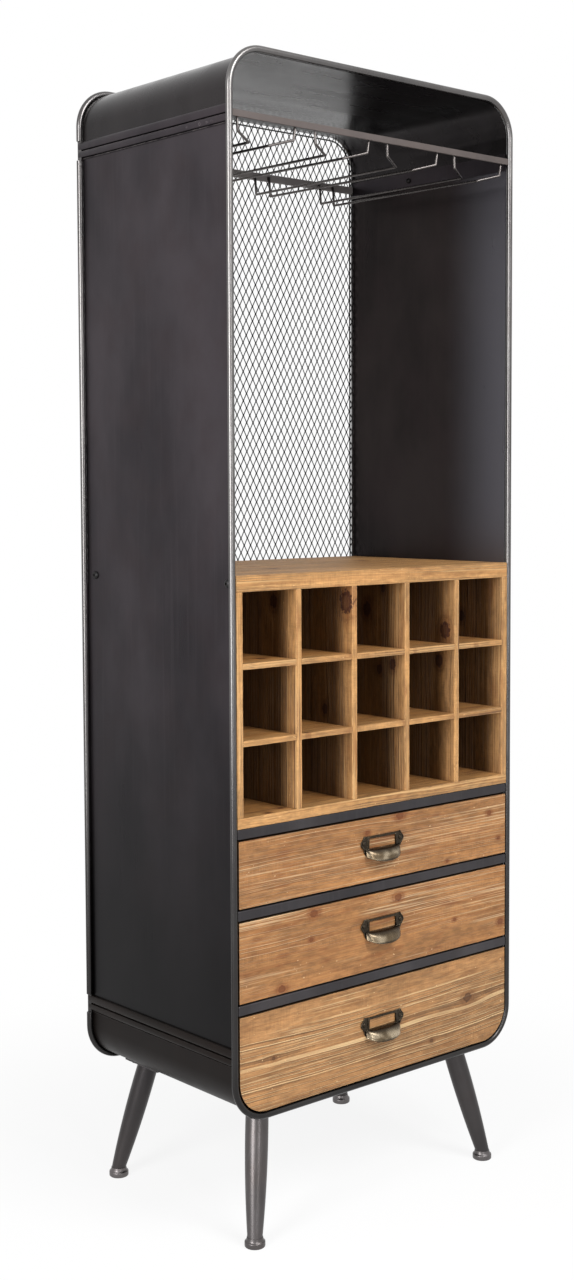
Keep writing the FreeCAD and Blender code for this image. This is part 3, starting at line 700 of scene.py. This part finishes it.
def wrap(node, bend_z, way, seam):
    """Sheet bent round the top or the bottom between the seams."""
    (_, y0, _), (_, y1, _) = span(node)
    outlines = []
    for radius in (INSIDE_RADIUS + SHEET, INSIDE_RADIUS):
        right = arc(BEND_X, bend_z, radius, 0, 90 * way, BEND_STEPS)
        left = arc(-BEND_X, bend_z, radius, 90 * way, 180 * way, BEND_STEPS)
        reach = BEND_X + radius
        outlines.append([(reach, seam)] + right + left + [(-reach, seam)])
    rings = []
    for (ox, oz), (ix, iz) in zip(*outlines):
        rings.append([(ox, y0, oz), (ox, y1, oz), (ix, y1, iz), (ix, y0, iz)])
    return Form().skin(rings)


cap = wrap("top_cap", BEND_HIGH, 1, upper_seam)
pan = wrap("bottom_pan", BEND_LOW, -1, lower_seam)
piece("top_cap_sheet", cap, CAP, "skin_steel", ["top_cap"], sharp=30)
piece("bottom_pan_sheet", pan, PAN, "skin_steel", ["bottom_pan"], sharp=30)
dress(SKIN, "left_side_panel", "lower_back_panel")
dress(SHADED_RIGHT_SKIN, "right_side_panel")

# Seam strips, let into the rear loop: heights from a strip's middle, and shares of its rise
STRIP_BASE = INSIDE + SHEET
STRIP_RISE = 4.8
STRIP_ENDS = ((-176.6, 1.0), (-175.8, 0.25), (-174.4, 0.0),     # place, inset
              (200.4, 0.0), (202.2, 0.25), (203.0, 1.0))
LIP_TOP = 11.8              # middle of a strip down to its lip
LIP = ((-STRIP_HALF, 0.2), (-13.5, 0.44), (-12.9, 0.44), (-LIP_TOP, 0.04))
BAND = ((0.08, 0.7), (0.13, 0.86), (0.3, 0.96), (0.5, 1.0), (0.7, 0.96), (0.88, 0.86))  # share up, out
GROOVE = ((-0.9, 0.7), (0.0, 0.04))
UPPER_EDGE = ((13.5, 0.62), (STRIP_HALF, 0.2))
RIVETS = ((-142.7, 2.4), (-131.0, 1.6), (-114.3, 2.2), (-83.2, 1.8))                        # place, radius
RIVET_SINK = 0.2
NUT = ((4.6, 0.0), (4.6, 0.9), (4.0, 1.1), (3.8, 2.6), (3.0, 4.0), (1.7, 4.9), (0.3, 5.2))  # radius, height
NUT_SEAT = 2.0              # inside of the skin to the nuts


def strip_form(seam):
    """Strip with two raised bands on each side, a sharp groove below each, and a lip along its lower edge."""
    lower_band = [(LIP_TOP * (up - 1), out) for up, out in BAND]
    upper_band = [(STRIP_HALF * up, out) for up, out in BAND]
    profile = [*LIP, *lower_band, *GROOVE, *upper_band, *UPPER_EDGE]
    outline = [(-STRIP_BASE, STRIP_HALF), (-STRIP_BASE, -STRIP_HALF)]
    outline += [(-STRIP_BASE - STRIP_RISE * out, z) for z, out in profile]
    rings = [[(min(x + inset, -STRIP_BASE), y, seam + z) for x, z in outline] for y, inset in STRIP_ENDS]
    return Form().skin(rings).mirror()


upper_strips = strip_form(upper_seam)
for y, radius in RIVETS:
    head = [(radius, -0.6), (radius, 0.0), (radius * 0.8, 0.3), (radius * 0.35, 0.42), (0.1, 0.44)]
    place = (RIVET_SINK - STRIP_BASE - STRIP_RISE, y, upper_seam - STRIP_HALF / 2)
    upper_strips.turned(head, place, LEFT, 16)
piece("upper_strips", upper_strips, UPPER_STRIP, "skin_steel", ["upper_seam_strips"], sharp=40)
piece("lower_strips", strip_form(lower_seam), LOWER_STRIP, "skin_steel", ["lower_seam_strips"], sharp=40)
dress(SKIN, "seam_backings")

(_, nut_front, _), (_, nut_rear, _) = span("seam_nuts")
nuts = Form().turned(NUT, (NUT_SEAT - INSIDE, (nut_front + nut_rear) / 2, upper_seam), RIGHT, 24).mirror()
piece("seam_acorn_nuts", nuts, BLACK, "black_fasteners", ["seam_nuts"])


# Back: expanded metal of flat strands that meet side by side at the knuckles
MESH_COLUMNS = 82           # half diamonds from side to side
MESH_ROWS = 62              # half diamonds from bottom to top
MESH_HALF = INSIDE + 0.6
MESH_LOW = span("back_mesh")[0][2]
MESH_HIGH = BEND_HIGH + INSIDE_RADIUS + 1.0
MESH_LAP = 1.5              # how far the strands run in behind the loop's corners
STRAND_WIDTH = 1.75
STRAND_THICKNESS = 1.0
STRAND_TILT = math.radians(28)
SHORTEST_STEP = 0.05
KNUCKLE = 1.3               # half the length that two strands run together
EDGE_INSET = 6.0            # inside of the loop to the edge wire
EDGE_LOW = 998.0
EDGE_SETBACK = 1.2
EDGE_RADIUS = 1.3


def inside_loop(x, z):
    """How far a point of the mesh lies inside the rear loop's rounded corners."""
    if abs(x) <= BEND_X or z <= BEND_HIGH:
        return 1.0
    return INSIDE_RADIUS + MESH_LAP - math.hypot(abs(x) - BEND_X, z - BEND_HIGH)


def crossing(point, following):
    """Where the way from one point to the next meets a rounded corner."""
    near, far = inside_loop(*point), inside_loop(*following)
    share = near / (near - far)
    return tuple(a + (b - a) * share for a, b in zip(point, following))


def strand_paths():
    """Each strand's points from bottom to top, cut off at the rounded corners."""
    step_x, step_z = 2 * MESH_HALF / MESH_COLUMNS, (MESH_HIGH - MESH_LOW) / MESH_ROWS
    for column in range(MESH_COLUMNS):
        path = []
        for row in range(MESH_ROWS + 1):
            right = (row + column) % 2
            x = (column + right) * step_x - MESH_HALF + (0.5 - right) * STRAND_WIDTH
            for way in (-1, 1):
                z = MESH_LOW + row * step_z + way * KNUCKLE
                path.append((x, min(max(z, MESH_LOW), MESH_HIGH)))
        run = []
        for point, following in zip(path, path[1:] + path[-1:]):
            here, there = inside_loop(*point) >= 0, inside_loop(*following) >= 0
            if here:
                run.append(point)
            if here != there:
                run.append(crossing(point, following))
            if here and not there:
                yield run
                run = []
        if len(run) > 1:
            yield run


def expanded_metal():
    """Tilted flat strands, and the wire round their edge."""
    form = Form()
    cos_tilt, sin_tilt = math.cos(STRAND_TILT), math.sin(STRAND_TILT)
    for run in strand_paths():
        run = [p for i, p in enumerate(run) if i == 0 or math.dist(p, run[i - 1]) > SHORTEST_STEP]
        rings = []
        for i, (x, z) in enumerate(run):
            (x0, z0), (x1, z1) = run[max(i - 1, 0)], run[min(i + 1, len(run) - 1)]
            long = math.hypot(x1 - x0, z1 - z0)
            nx, nz = (z1 - z0) / long, (x0 - x1) / long
            ring = []
            for a, b in ((-1, -1), (1, -1), (1, 1), (-1, 1)):
                flat = a * STRAND_WIDTH / 2 * cos_tilt - b * STRAND_THICKNESS / 2 * sin_tilt
                out = a * STRAND_WIDTH / 2 * sin_tilt + b * STRAND_THICKNESS / 2 * cos_tilt
                ring.append((x + nx * flat, rear_y + out, z + nz * flat))
            rings.append(ring)
        form.skin(rings)
    half = [(INSIDE - EDGE_INSET, EDGE_LOW)] + arc(BEND_X, BEND_HIGH, INSIDE_RADIUS - EDGE_INSET, 0, 90, 14)
    whole = half + [(-x, z) for x, z in reversed(half)]
    return form.tube([Vector((x, rear_y - EDGE_SETBACK, z)) for x, z in whole], EDGE_RADIUS, 8)


piece("expanded_metal_back", expanded_metal(), MESH, "mesh_steel", ["back_mesh"], sharp=30)

# Glass rack
RAIL_PITCH = 151.0
RAIL_MOUTH = 112.95         # between the hooks at the front bar
RAIL_CHANNEL = 32.0         # between the two wires that carry a glass
RAIL_RUN, RAIL_TOP = 1654.0, 1690.0
RAIL_FRONT, RAIL_REAR = -177.6, 191.3
RAIL_RADIUS = 2.0
RAIL_BEND = 4.0
HOOK_DROP, HOOK_RUN = 8.0, 16.0                     # how far a wire slopes down and back from its hook
BEAD = ((0.4, -1.6), (2.6, -1.2), (3.4, -0.3), (3.5, 0.0))      # weld at a bar: radius, height
BEAD_FRONT, BEAD_REAR, BEAD_HEIGHT = -179.4, 193.2, 1688.0

for node, finish in (("front_glass_bar", FRONT_FLAT), ("rear_glass_bar", LIT_REAR_FLAT)):
    piece(node + "_flat", Form().block(*span(node)), finish, "bar_steel", [node], ease=0.7, segments=3)
for pair in range(1, 5):
    wires = Form()
    middle = (pair - 2.5) * RAIL_PITCH
    for side in (-1, 1):
        mouth, run = middle + side * RAIL_MOUTH / 2, middle + side * RAIL_CHANNEL / 2
        corners = [(mouth, RAIL_FRONT, RAIL_TOP), (mouth, RAIL_FRONT, RAIL_RUN + HOOK_DROP),
                   (run, RAIL_FRONT + HOOK_RUN, RAIL_RUN), (run, RAIL_REAR, RAIL_RUN),
                   (run, RAIL_REAR, RAIL_TOP)]
        wires.tube(bent(corners, RAIL_BEND), RAIL_RADIUS)
        wires.turned(BEAD, (mouth, BEAD_FRONT, BEAD_HEIGHT), FORWARD, 14)
        wires.turned(BEAD, (run, BEAD_REAR, BEAD_HEIGHT), REARWARD, 14)
    piece(f"glass_rail_wires_{pair}", wires, WIRE, "bar_steel", [f"glass_rail_{pair}"])

# Bottle rack
RACK_BACK = span("rack_top_board")[1][1]
HALVING = (FACE + RACK_BACK) / 2
FIT = 0.1                   # play in the halved joints
BOARD_WANDER = 0.3          # how far a board's surface strays from flat
BOARD_STEP = 14.0
CELL_SHADE = 0.24           # tone left on the upright boards behind the face, where unfinished wood and painted shade darken it


def board(node, axes, seed, tones, slot, body="cabinet", outline=None, ease=0.9, name=None, **grain):
    """Eased and slightly uneven fir board in a CAD node's place. Axes run along, across and through."""
    low, high = span(node)
    level = "XYZ".index(axes[2])
    if outline is None:
        (u0, v0), (u1, v1) = [[v for i, v in enumerate(corner) if i != level] for corner in (low, high)]
        outline = [(u0, v0), (u1, v0), (u1, v1), (u0, v1)]
    form = Form().prism(outline, axes[2].lower(), low[level], high[level])
    middle = [(a + b) / 2 for a, b in zip(low, high)]
    finish = fir(node.replace("_", " ") + " fir", axes, middle, seed, tones, **grain)
    wander = (BOARD_WANDER, BOARD_STEP, axes[0])
    return piece(name or node + "_board", form, finish, slot, [node], body, ease=ease, wander=wander)


def rack_board(node, axes, seed, **grain):
    return board(node, axes, seed, RACK_TONES, "rack_fir", **grain)


# Knots: place along the board, place across it, size
TOP_KNOTS = ((-120, -60, 7), (170, 40, 6), (60, -150, 4))
BOTTOM_KNOTS = ((-229, -176, 4), (-190, -160, 4), (120, -100, 6))
RIGHT_KNOTS = ((927, -91, 7), (720, -60, 6))
UPRIGHT_KNOTS = (
    ((977, -131, 8),),
    ((972, -170, 14), (800, -120, 6)),
    ((951, -96, 9), (987, -134, 5), (865, -156, 7), (855, -126, 6)),
    ((914, -162, 11), (862, -149, 8)))
SHELF_KNOTS = (
    ((-155, -181, 3), (50, -181, 2.4), (-20, -120, 6)),
    ((219, -181, 3), (75, -181, 2.4), (-210, -140, 6)))

rack_board("rack_top_board", "XYZ", 3.0, name="rack_top", ease=1.4, ring=5.0, pith=70.0, heart=-230.0,
           knots=TOP_KNOTS)
rack_board("rack_bottom_board", "XYZ", 7.0, name="rack_bottom", ease=1.0, inner=0.7, ring=4.5, heart=-230.0,
           knots=BOTTOM_KNOTS)
rack_board("rack_left_side", "ZYX", 11.0, inner=CELL_SHADE, ring=5.0, heart=-230.0)
rack_board("rack_right_side", "ZYX", 12.0, inner=CELL_SHADE, ring=5.0, heart=-230.0, knots=RIGHT_KNOTS)

shelves = [span(f"rack_shelf_{n}") for n in (1, 2)]
uprights = [span(f"rack_upright_{n}") for n in (1, 2, 3, 4)]
for n, (low, high) in enumerate(uprights, 1):
    end = HALVING - FIT
    outline = [(FACE, low[2]), (RACK_BACK, low[2])]
    for (_, _, z0), (_, _, z1) in shelves:
        outline += [(RACK_BACK, z0 - FIT), (end, z0 - FIT), (end, z1 + FIT), (RACK_BACK, z1 + FIT)]
    outline += [(RACK_BACK, high[2]), (FACE, high[2])]
    rack_board(f"rack_upright_{n}", "ZYX", 20.0 + n, inner=CELL_SHADE, outline=outline, ring=4.5, pith=40.0,
               heart=-220.0, knots=UPRIGHT_KNOTS[n - 1])
for n, (low, high) in enumerate(shelves, 1):
    end = HALVING + FIT
    outline = [(high[0], RACK_BACK), (low[0], RACK_BACK), (low[0], FACE)]
    for (x0, _, _), (x1, _, _) in uprights:
        outline += [(x0 - FIT, FACE), (x0 - FIT, end), (x1 + FIT, end), (x1 + FIT, FACE)]
    outline += [(high[0], FACE)]
    rack_board(f"rack_shelf_{n}", "XYZ", 30.0 + n, inner=0.8, outline=outline, ring=4.5, heart=-220.0,
               knots=SHELF_KNOTS[n - 1])

SCREW = ((2.8, -6.0), (2.8, 0.0), (6.5, 0.0), (6.5, 0.5), (6.1, 1.6), (5.1, 2.8), (3.7, 3.6), (2.6, 3.9),
         (2.3, 3.8), (2.2, 1.9), (0.2, 1.6))        # radius, height
SCREW_PLACES = (-167.7, 171.3)
SCREW_HEIGHT = 1009.75
screws = Form()
for y in SCREW_PLACES:
    screws.turned(SCREW, (-STRIP_BASE, y, SCREW_HEIGHT), LEFT, 32)
piece("rack_button_screws", screws.mirror(), BLACK, "black_fasteners", ["rack_screws"])

# Cross rails
for n in (1, 2, 3):
    tube = Form().block(*span(f"cross_rail_{n}"))
    piece(f"cross_rail_tube_{n}", tube, RAIL, "bar_steel", [f"cross_rail_{n}"], ease=2.6, segments=5)
dress(RAIL, "rack_rear_rail", "drawer_runners")

# Drawers, from the upper one down
DRAWER_KNOTS = (
    ((41, 624, 6), (-31, 606, 3.5), (252, 601, 4), (275, 555, 3), (150, 534, 2.6)),
    ((37, 492, 6), (-144, 497, 6), (-150, 457, 3.4), (168, 433, 3), (281, 410, 5), (-210, 392, 5.5)),
    ((200, 295, 7.5), (114, 240, 3.4), (-227, 289, 3)))
DRAWER_HEARTS = (690.0, 560.0, 420.0)
DRAWER_RINGS = (5.0, 5.5, 7.5)
DRAWER_RELIEFS = (0.65, 0.65, 1.1)
FRONT_TONES = (DRAWER_TONES, DRAWER_TONES, LOW_DRAWER_TONES)
FRONT_GAP = 2.2                 # drawer fronts to the skin
BOX_SIDE = 12.0                 # thickness of a drawer's side
BOTTOM_GROOVE = (8.0, 14.0)     # edges of the groove for the bottom, from the side's lower edge
BOTTOM_GROOVE_FLOOR = 7.0       # outside of a side to the bottom's groove
RUNNER_GROOVE = (-0.3, 10.3)    # edges of the groove for the runner, from the side's middle
RUNNER_GROOVE_DEPTH = 6.3


def side_outline(x, low, high):
    """Left side of a drawer from its outside at x, with a groove on each face."""
    inside, bottom, runner = x + BOX_SIDE, x + BOTTOM_GROOVE_FLOOR, x + RUNNER_GROOVE_DEPTH
    bottom_low, bottom_high = [low + edge for edge in BOTTOM_GROOVE]
    runner_low, runner_high = [(low + high) / 2 + edge for edge in RUNNER_GROOVE]
    return [(x, low), (inside, low), (inside, bottom_low), (bottom, bottom_low), (bottom, bottom_high),
            (inside, bottom_high), (inside, high), (x, high), (x, runner_high), (runner, runner_high),
            (runner, runner_low), (x, runner_low)]


for n in (1, 2, 3):
    body = f"drawer_{n}"
    (x0, _, z0), (x1, _, z1) = span(f"drawer_{n}_front")
    outline = None
    if n == 3:
        radius = INSIDE_RADIUS - FRONT_GAP
        outline = (arc(x0 + radius, z0 + radius, radius, 180, 270, 16)
                   + arc(x1 - radius, z0 + radius, radius, 270, 360, 16) + [(x1, z1), (x0, z1)])
    board(f"drawer_{n}_front", "XZY", 40.0 + 5 * n, FRONT_TONES[n - 1], "drawer_fir", body, outline, ease=1.3,
          ring=DRAWER_RINGS[n - 1], pith=60.0, heart=DRAWER_HEARTS[n - 1], knots=DRAWER_KNOTS[n - 1],
          relief=DRAWER_RELIEFS[n - 1], worn=0.2, rim=0.9)

    (x0, y0, z0), (_, y1, z1) = span(f"drawer_{n}_sides")
    middle = [0.0, (y0 + y1) / 2, (z0 + z1) / 2]
    finish = fir(f"drawer {n} box fir", "YZX", middle, 60.0 + n, BOX_TONES, pith=70.0)
    sides = Form().prism(side_outline(x0, z0, z1), "y", y0, y1).mirror()
    piece(f"drawer_{n}_box_sides", sides, finish, "drawer_fir", [f"drawer_{n}_sides"], body, ease=0.7)
    for part, axes in (("back", "XZY"), ("bottom", "XYZ")):
        board(f"drawer_{n}_{part}", axes, 70.0 + n, BOX_TONES, "drawer_fir", body, ease=0.6, pith=70.0)


# Pulls: drops are measured down from the top of the label frame
PLATE = 1.6                     # thickness of the plate
RIM_RADIUS = 1.25
WINDOW_SIDE = 30.0
WINDOW_RIM = 31.0               # middle to the raised rim beside the window
WINDOW_RIM_DROPS = (1.9, 22.0)
WINDOW_RIM_OUT = 1.5
EAR_FOOT, EAR_BULGE = 40.0, 5.9
EAR_TOP, EAR_HEIGHT = 2.6, 18.0
EAR_STEPS = 12
SKIRT_HALF, SKIRT_HEIGHT = 39.5, 18.0
SKIRT_TOP, SKIRT_BEND = 20.4, 21.5
SKIRT_STEPS = 20
CUP_HALF, CUP_TOP = 36.5, 20.6
CUP_DROP, CUP_END_RISE = 19.0, 7.4      # height in the middle, and how much of it the ends lack
CUP_END_REACH, CUP_BOW = 2.6, 14.8      # reach at the ends, and how much the middle adds
CUP_LEAST_REACH = 0.6
CUP_WALL = 1.4
CUP_COLUMNS, CUP_ROWS = 40, 14
LIP_RADIUS = 1.15
HEAD = ((1.7, -8.0), (1.7, 0.0), (3.5, 0.0), (3.5, 0.4), (3.1, 1.1), (2.1, 1.7), (0.9, 2.0), (0.2, 2.05))
HEAD_SIDE, HEAD_DROP = 40.0, 11.0


def cup_sheet(at, wall):
    """Columns of points over the cup, drawn in by the wall on the inside."""
    columns = []
    for i in range(CUP_COLUMNS + 1):
        s = 2 * i / CUP_COLUMNS - 1
        drop = CUP_DROP - CUP_END_RISE * abs(s) ** 2.6 - wall * 0.3
        reach = CUP_END_REACH + CUP_BOW * (1 - abs(s) ** 2.3) ** 0.62 - wall
        column = []
        for j in range(CUP_ROWS + 1):
            turn = math.pi / 2 * j / CUP_ROWS
            out = PLATE + max(reach, CUP_LEAST_REACH) * math.sin(turn) ** 0.92
            down = CUP_TOP + wall + (drop - wall) * (1 - math.cos(turn))
            column.append(at((CUP_HALF - wall) * s, down, out))
        columns.append(column)
    return columns


def pull_form(top):
    """Label frame with two ears over a bowed cup."""
    form = Form()

    def at(x, drop, out):
        return Vector((x, FACE - out, top - drop))

    def plate(outline):
        form.skin([[at(x, drop, out) for x, drop in outline] for out in (0.0, PLATE)])

    # Sides with ears
    for side in (-1, 1):
        outline = [(side * WINDOW_SIDE, 0.4), (side * 38.6, 0.4), (side * 39.8, 1.6)]
        for i in range(EAR_STEPS + 1):
            share = i / EAR_STEPS
            bulge = EAR_BULGE * math.sin(math.pi * share) ** 1.3
            outline.append((side * (EAR_FOOT + bulge), EAR_TOP + EAR_HEIGHT * share))
        outline += [(side * 39.0, 23.4), (side * WINDOW_SIDE, 24.0)]
        plate(outline)
        form.tube([at(x, drop, PLATE) for x, drop in outline[1:-1]], RIM_RADIUS, 10)
    # Raised rim round the window
    upper, lower = WINDOW_RIM_DROPS
    corners = ((-1, lower), (-1, upper), (1, upper), (1, lower))
    form.tube(bent([at(side * WINDOW_RIM, drop, WINDOW_RIM_OUT) for side, drop in corners], 1.6, 4), 2.0, 12)
    # Skirt behind the cup
    outline = [(-SKIRT_HALF, SKIRT_TOP), (SKIRT_HALF, SKIRT_TOP)]
    for i in range(SKIRT_STEPS + 1):
        turn = math.pi * i / SKIRT_STEPS
        outline.append((SKIRT_HALF * math.cos(turn), SKIRT_BEND + SKIRT_HEIGHT * math.sin(turn) ** 0.8))
    plate(outline)
    # Cup with a rounded lip
    outer, inner = cup_sheet(at, 0.0), cup_sheet(at, CUP_WALL)
    form.skin([[*a, *reversed(b)] for a, b in zip(outer, inner)])
    return form.tube([a[-1].lerp(b[-1], 0.5) for a, b in zip(outer, inner)], LIP_RADIUS, 10)


for n in (1, 2, 3):
    body = f"drawer_{n}"
    top = span(f"drawer_{n}_pull")[1][2]
    brass = antique_brass(f"antique brass {n}", top)
    pull = pull_form(top)
    piece(f"drawer_{n}_cup_pull", pull, brass, "antique_brass", [f"drawer_{n}_pull"], body, sharp=50)
    heads = Form()
    for side in (-1, 1):
        heads.turned(HEAD, (side * HEAD_SIDE, FACE - PLATE, top - HEAD_DROP), FORWARD, 24)
    piece(f"drawer_{n}_pull_heads", heads, brass, "antique_brass", [f"drawer_{n}_pull_screws"], body)

# Legs, full in the middle, each with its plate a quarter turn from the next
CORNERS = {"front_left": (-1, -1), "front_right": (1, -1), "rear_left": (-1, 1), "rear_right": (1, 1)}
FOOT_TOP = 15.0
PLATE_Z = 203.5
MIDDLE_Y = 8.3
FOOT_X, FOOT_Y = 253.5, 178.0
LEG_X, LEG_Y = 215.0, 139.0
LEG_RADII = (11.75, 17.25, 17.5)    # bottom, middle and top
LEG_STEPS, LEG_SIDES = 32, 40
LEG_WELD = 1.8                      # weld bead round the top of a leg
FOOT = ((13.6, 0.0), (15.0, 0.4), (15.8, 1.3), (16.0, 2.4), (16.0, 7.4), (15.8, 8.5), (15.2, 9.1),
        (14.6, 9.4), (13.9, 10.2), (13.3, 11.4), (12.9, 12.9), (12.6, 14.4), (12.4, 15.2), (11.5, 15.3))
BOLT_REACH = 30.5                   # middle of a plate to its bolts, both ways
PLATE_SHIFTS = (4.5, 25.0)          # middle of a plate inward of its leg, across and along
WASHER = ((8.0, 0.0), (8.0, 0.9), (7.7, 1.1), (5.9, 1.1))
BOLT = ((4.9, 1.0), (5.77, 1.2), (5.77, 4.2), (5.0, 4.9), (0.2, 4.95))


def leg_radius(share):
    bottom, middle, top = LEG_RADII
    return (bottom + (4 * middle - 3 * bottom - top) * share
            + (2 * bottom + 2 * top - 4 * middle) * share * share)


for name, (sx, sy) in CORNERS.items():
    foot = Vector((sx * FOOT_X, MIDDLE_Y + sy * FOOT_Y, FOOT_TOP))
    head = Vector((sx * LEG_X, MIDDLE_Y + sy * LEG_Y, PLATE_Z))
    rings = []
    for i in range(LEG_STEPS + 1):
        x, y, z = foot.lerp(head, i / LEG_STEPS)
        radius = leg_radius(i / LEG_STEPS) + (LEG_WELD if i == LEG_STEPS else 0.0)
        rings.append([(x + radius * math.cos(t), y + radius * math.sin(t), z) for t in turns(LEG_SIDES)])
    # painted light on the front left leg, painted shade on the others
    finish = LIT_LEG if name == "front_left" else SHADED_LEG
    piece(f"{name}_leg_tube", Form().skin(rings), finish, "bar_steel", [f"{name}_leg"], sharp=50)

feet, bolts = Form(), Form()
for sx, sy in CORNERS.values():
    feet.turned(FOOT, (sx * FOOT_X, MIDDLE_Y + sy * FOOT_Y, 0.0), UP)
    shift_x, shift_y = reversed(PLATE_SHIFTS) if sx == sy else PLATE_SHIFTS
    plate_x, plate_y = sx * (LEG_X - shift_x), MIDDLE_Y + sy * (LEG_Y - shift_y)
    for i in (-1, 1):
        for j in (-1, 1):
            place = (plate_x + i * BOLT_REACH, plate_y + j * BOLT_REACH, PLATE_Z)
            bolts.turned(WASHER, place, DOWN, 24)
            bolts.turned(BOLT, place, DOWN, 6)
piece("flared_feet", feet, LIT_LEG, "bar_steel", ["feet"], sharp=45)
piece("leg_plate_bolts", bolts, BLACK, "black_fasteners", ["leg_bolts"], sharp=30)
dress(RAIL, "leg_plates")


# Studio, in metres
FLOOR_HALF = 30.0
FLOOR_FADE = (0.2, 1.2)         # from the middle of the cabinet
FLOOR_NEAR = 0.88               # share of plain white under the cabinet
PALE = (0.94, 0.94, 0.94, 1.0)
WHITE = (1.0, 1.0, 1.0, 1.0)


def shown(g):
    """One for what the camera, a reflection or glass shows, and nought for light on the cabinet."""
    path = g.node("ShaderNodeLightPath").outputs
    return g.most(path["Is Camera Ray"], g.most(path["Is Glossy Ray"], path["Is Transmission Ray"]))


def floor_finish():
    """Pale floor that keeps the shadow near the cabinet and fades to plain white further out."""
    made, g = bare_finish("studio floor")
    pale = g.node("ShaderNodeBsdfDiffuse", {"Color": PALE})
    white = g.node("ShaderNodeEmission", {"Color": WHITE, "Strength": 1.0})
    place = g.node("ShaderNodeTexCoord").outputs["Object"]
    far = g.node("ShaderNodeVectorMath", {0: place}, operation="LENGTH").outputs["Value"]
    share = g.times(g.ease(far, *FLOOR_FADE, FLOOR_NEAR, 1.0), shown(g))
    both = g.node("ShaderNodeMixShader", {0: share, 1: pale.outputs[0], 2: white.outputs[0]})
    g.node("ShaderNodeOutputMaterial", {"Surface": both.outputs[0]})
    return made


floor_mesh = bpy.data.meshes.new("studio_floor")
corners = [(FLOOR_HALF * x, FLOOR_HALF * y, 0.0) for x, y in ((-1, -1), (1, -1), (1, 1), (-1, 1))]
floor_mesh.from_pydata(corners, [], [(0, 1, 2, 3)])
floor_mesh.materials.append(floor_finish())
floor = put("studio_floor", floor_mesh)

world = bpy.data.worlds.new("studio")
bpy.context.scene.world = world
world.use_nodes = True
g = Graph(world.node_tree)
soft = g.node("ShaderNodeBackground", {"Color": WHITE, "Strength": 0.12})
white = g.node("ShaderNodeBackground", {"Color": WHITE, "Strength": 1.0})
both = g.node("ShaderNodeMixShader", {0: shown(g), 1: soft.outputs[0], 2: white.outputs[0]})
g.node("ShaderNodeOutputWorld", {"Surface": both.outputs[0]})


def softbox(name, place, aim, wide, tall, radiance):
    """Soft rectangular lamp whose surface has the given radiance."""
    lamp = bpy.data.lights.new(name, "AREA")
    lamp.shape = "RECTANGLE"
    lamp.size, lamp.size_y = wide, tall
    lamp.energy = radiance * math.pi * wide * tall
    made = put(name, lamp)
    made.location = place
    made.rotation_euler = (Vector(aim) - Vector(place)).to_track_quat("-Z", "Y").to_euler()


softbox("key softbox", (0.2, -2.6, 3.0), (0.0, 0.0, 0.8), 1.4, 1.4, 16.0)
softbox("left softbox", (-2.9, -0.75, 1.45), (0.0, 0.0, 0.9), 1.0, 2.5, 13.0)
softbox("front softbox", (-1.15, -3.2, 1.5), (0.0, 0.0, 0.9), 0.3, 2.3, 12.0)

# Camera
IMAGE_WIDTH, IMAGE_HEIGHT = 574.0, 1280.0
FOCAL = 1694.5              # pixels
CENTRE = (298.1, 594.4)     # pixel that the lens points at
CAMERA_PLACE = (-1.8536, -2.0985, 1.1557)
YAW, PITCH, ROLL = math.radians(41.261), math.radians(-3.734), math.radians(-0.214)
lens = bpy.data.cameras.new("camera")
lens.sensor_width = 36.0
lens.lens = FOCAL / IMAGE_HEIGHT * lens.sensor_width
lens.shift_x = (IMAGE_WIDTH / 2 - CENTRE[0]) / IMAGE_HEIGHT
lens.shift_y = (CENTRE[1] - IMAGE_HEIGHT / 2) / IMAGE_HEIGHT
lens.clip_end = 100.0
ahead = Vector((math.sin(YAW) * math.cos(PITCH), math.cos(YAW) * math.cos(PITCH), math.sin(PITCH)))
right = Vector((math.cos(YAW), -math.sin(YAW), 0.0))
up = right.cross(ahead)
rolled_right = right * math.cos(ROLL) + up * math.sin(ROLL)
rolled_up = up * math.cos(ROLL) - right * math.sin(ROLL)
turn = Matrix((rolled_right, rolled_up, -ahead)).transposed()
camera = put("camera", lens)
camera.matrix_world = Matrix.Translation(CAMERA_PLACE) @ turn.to_4x4()
bpy.context.scene.camera = camera
bpy.context.scene.view_settings.view_transform = "Standard"
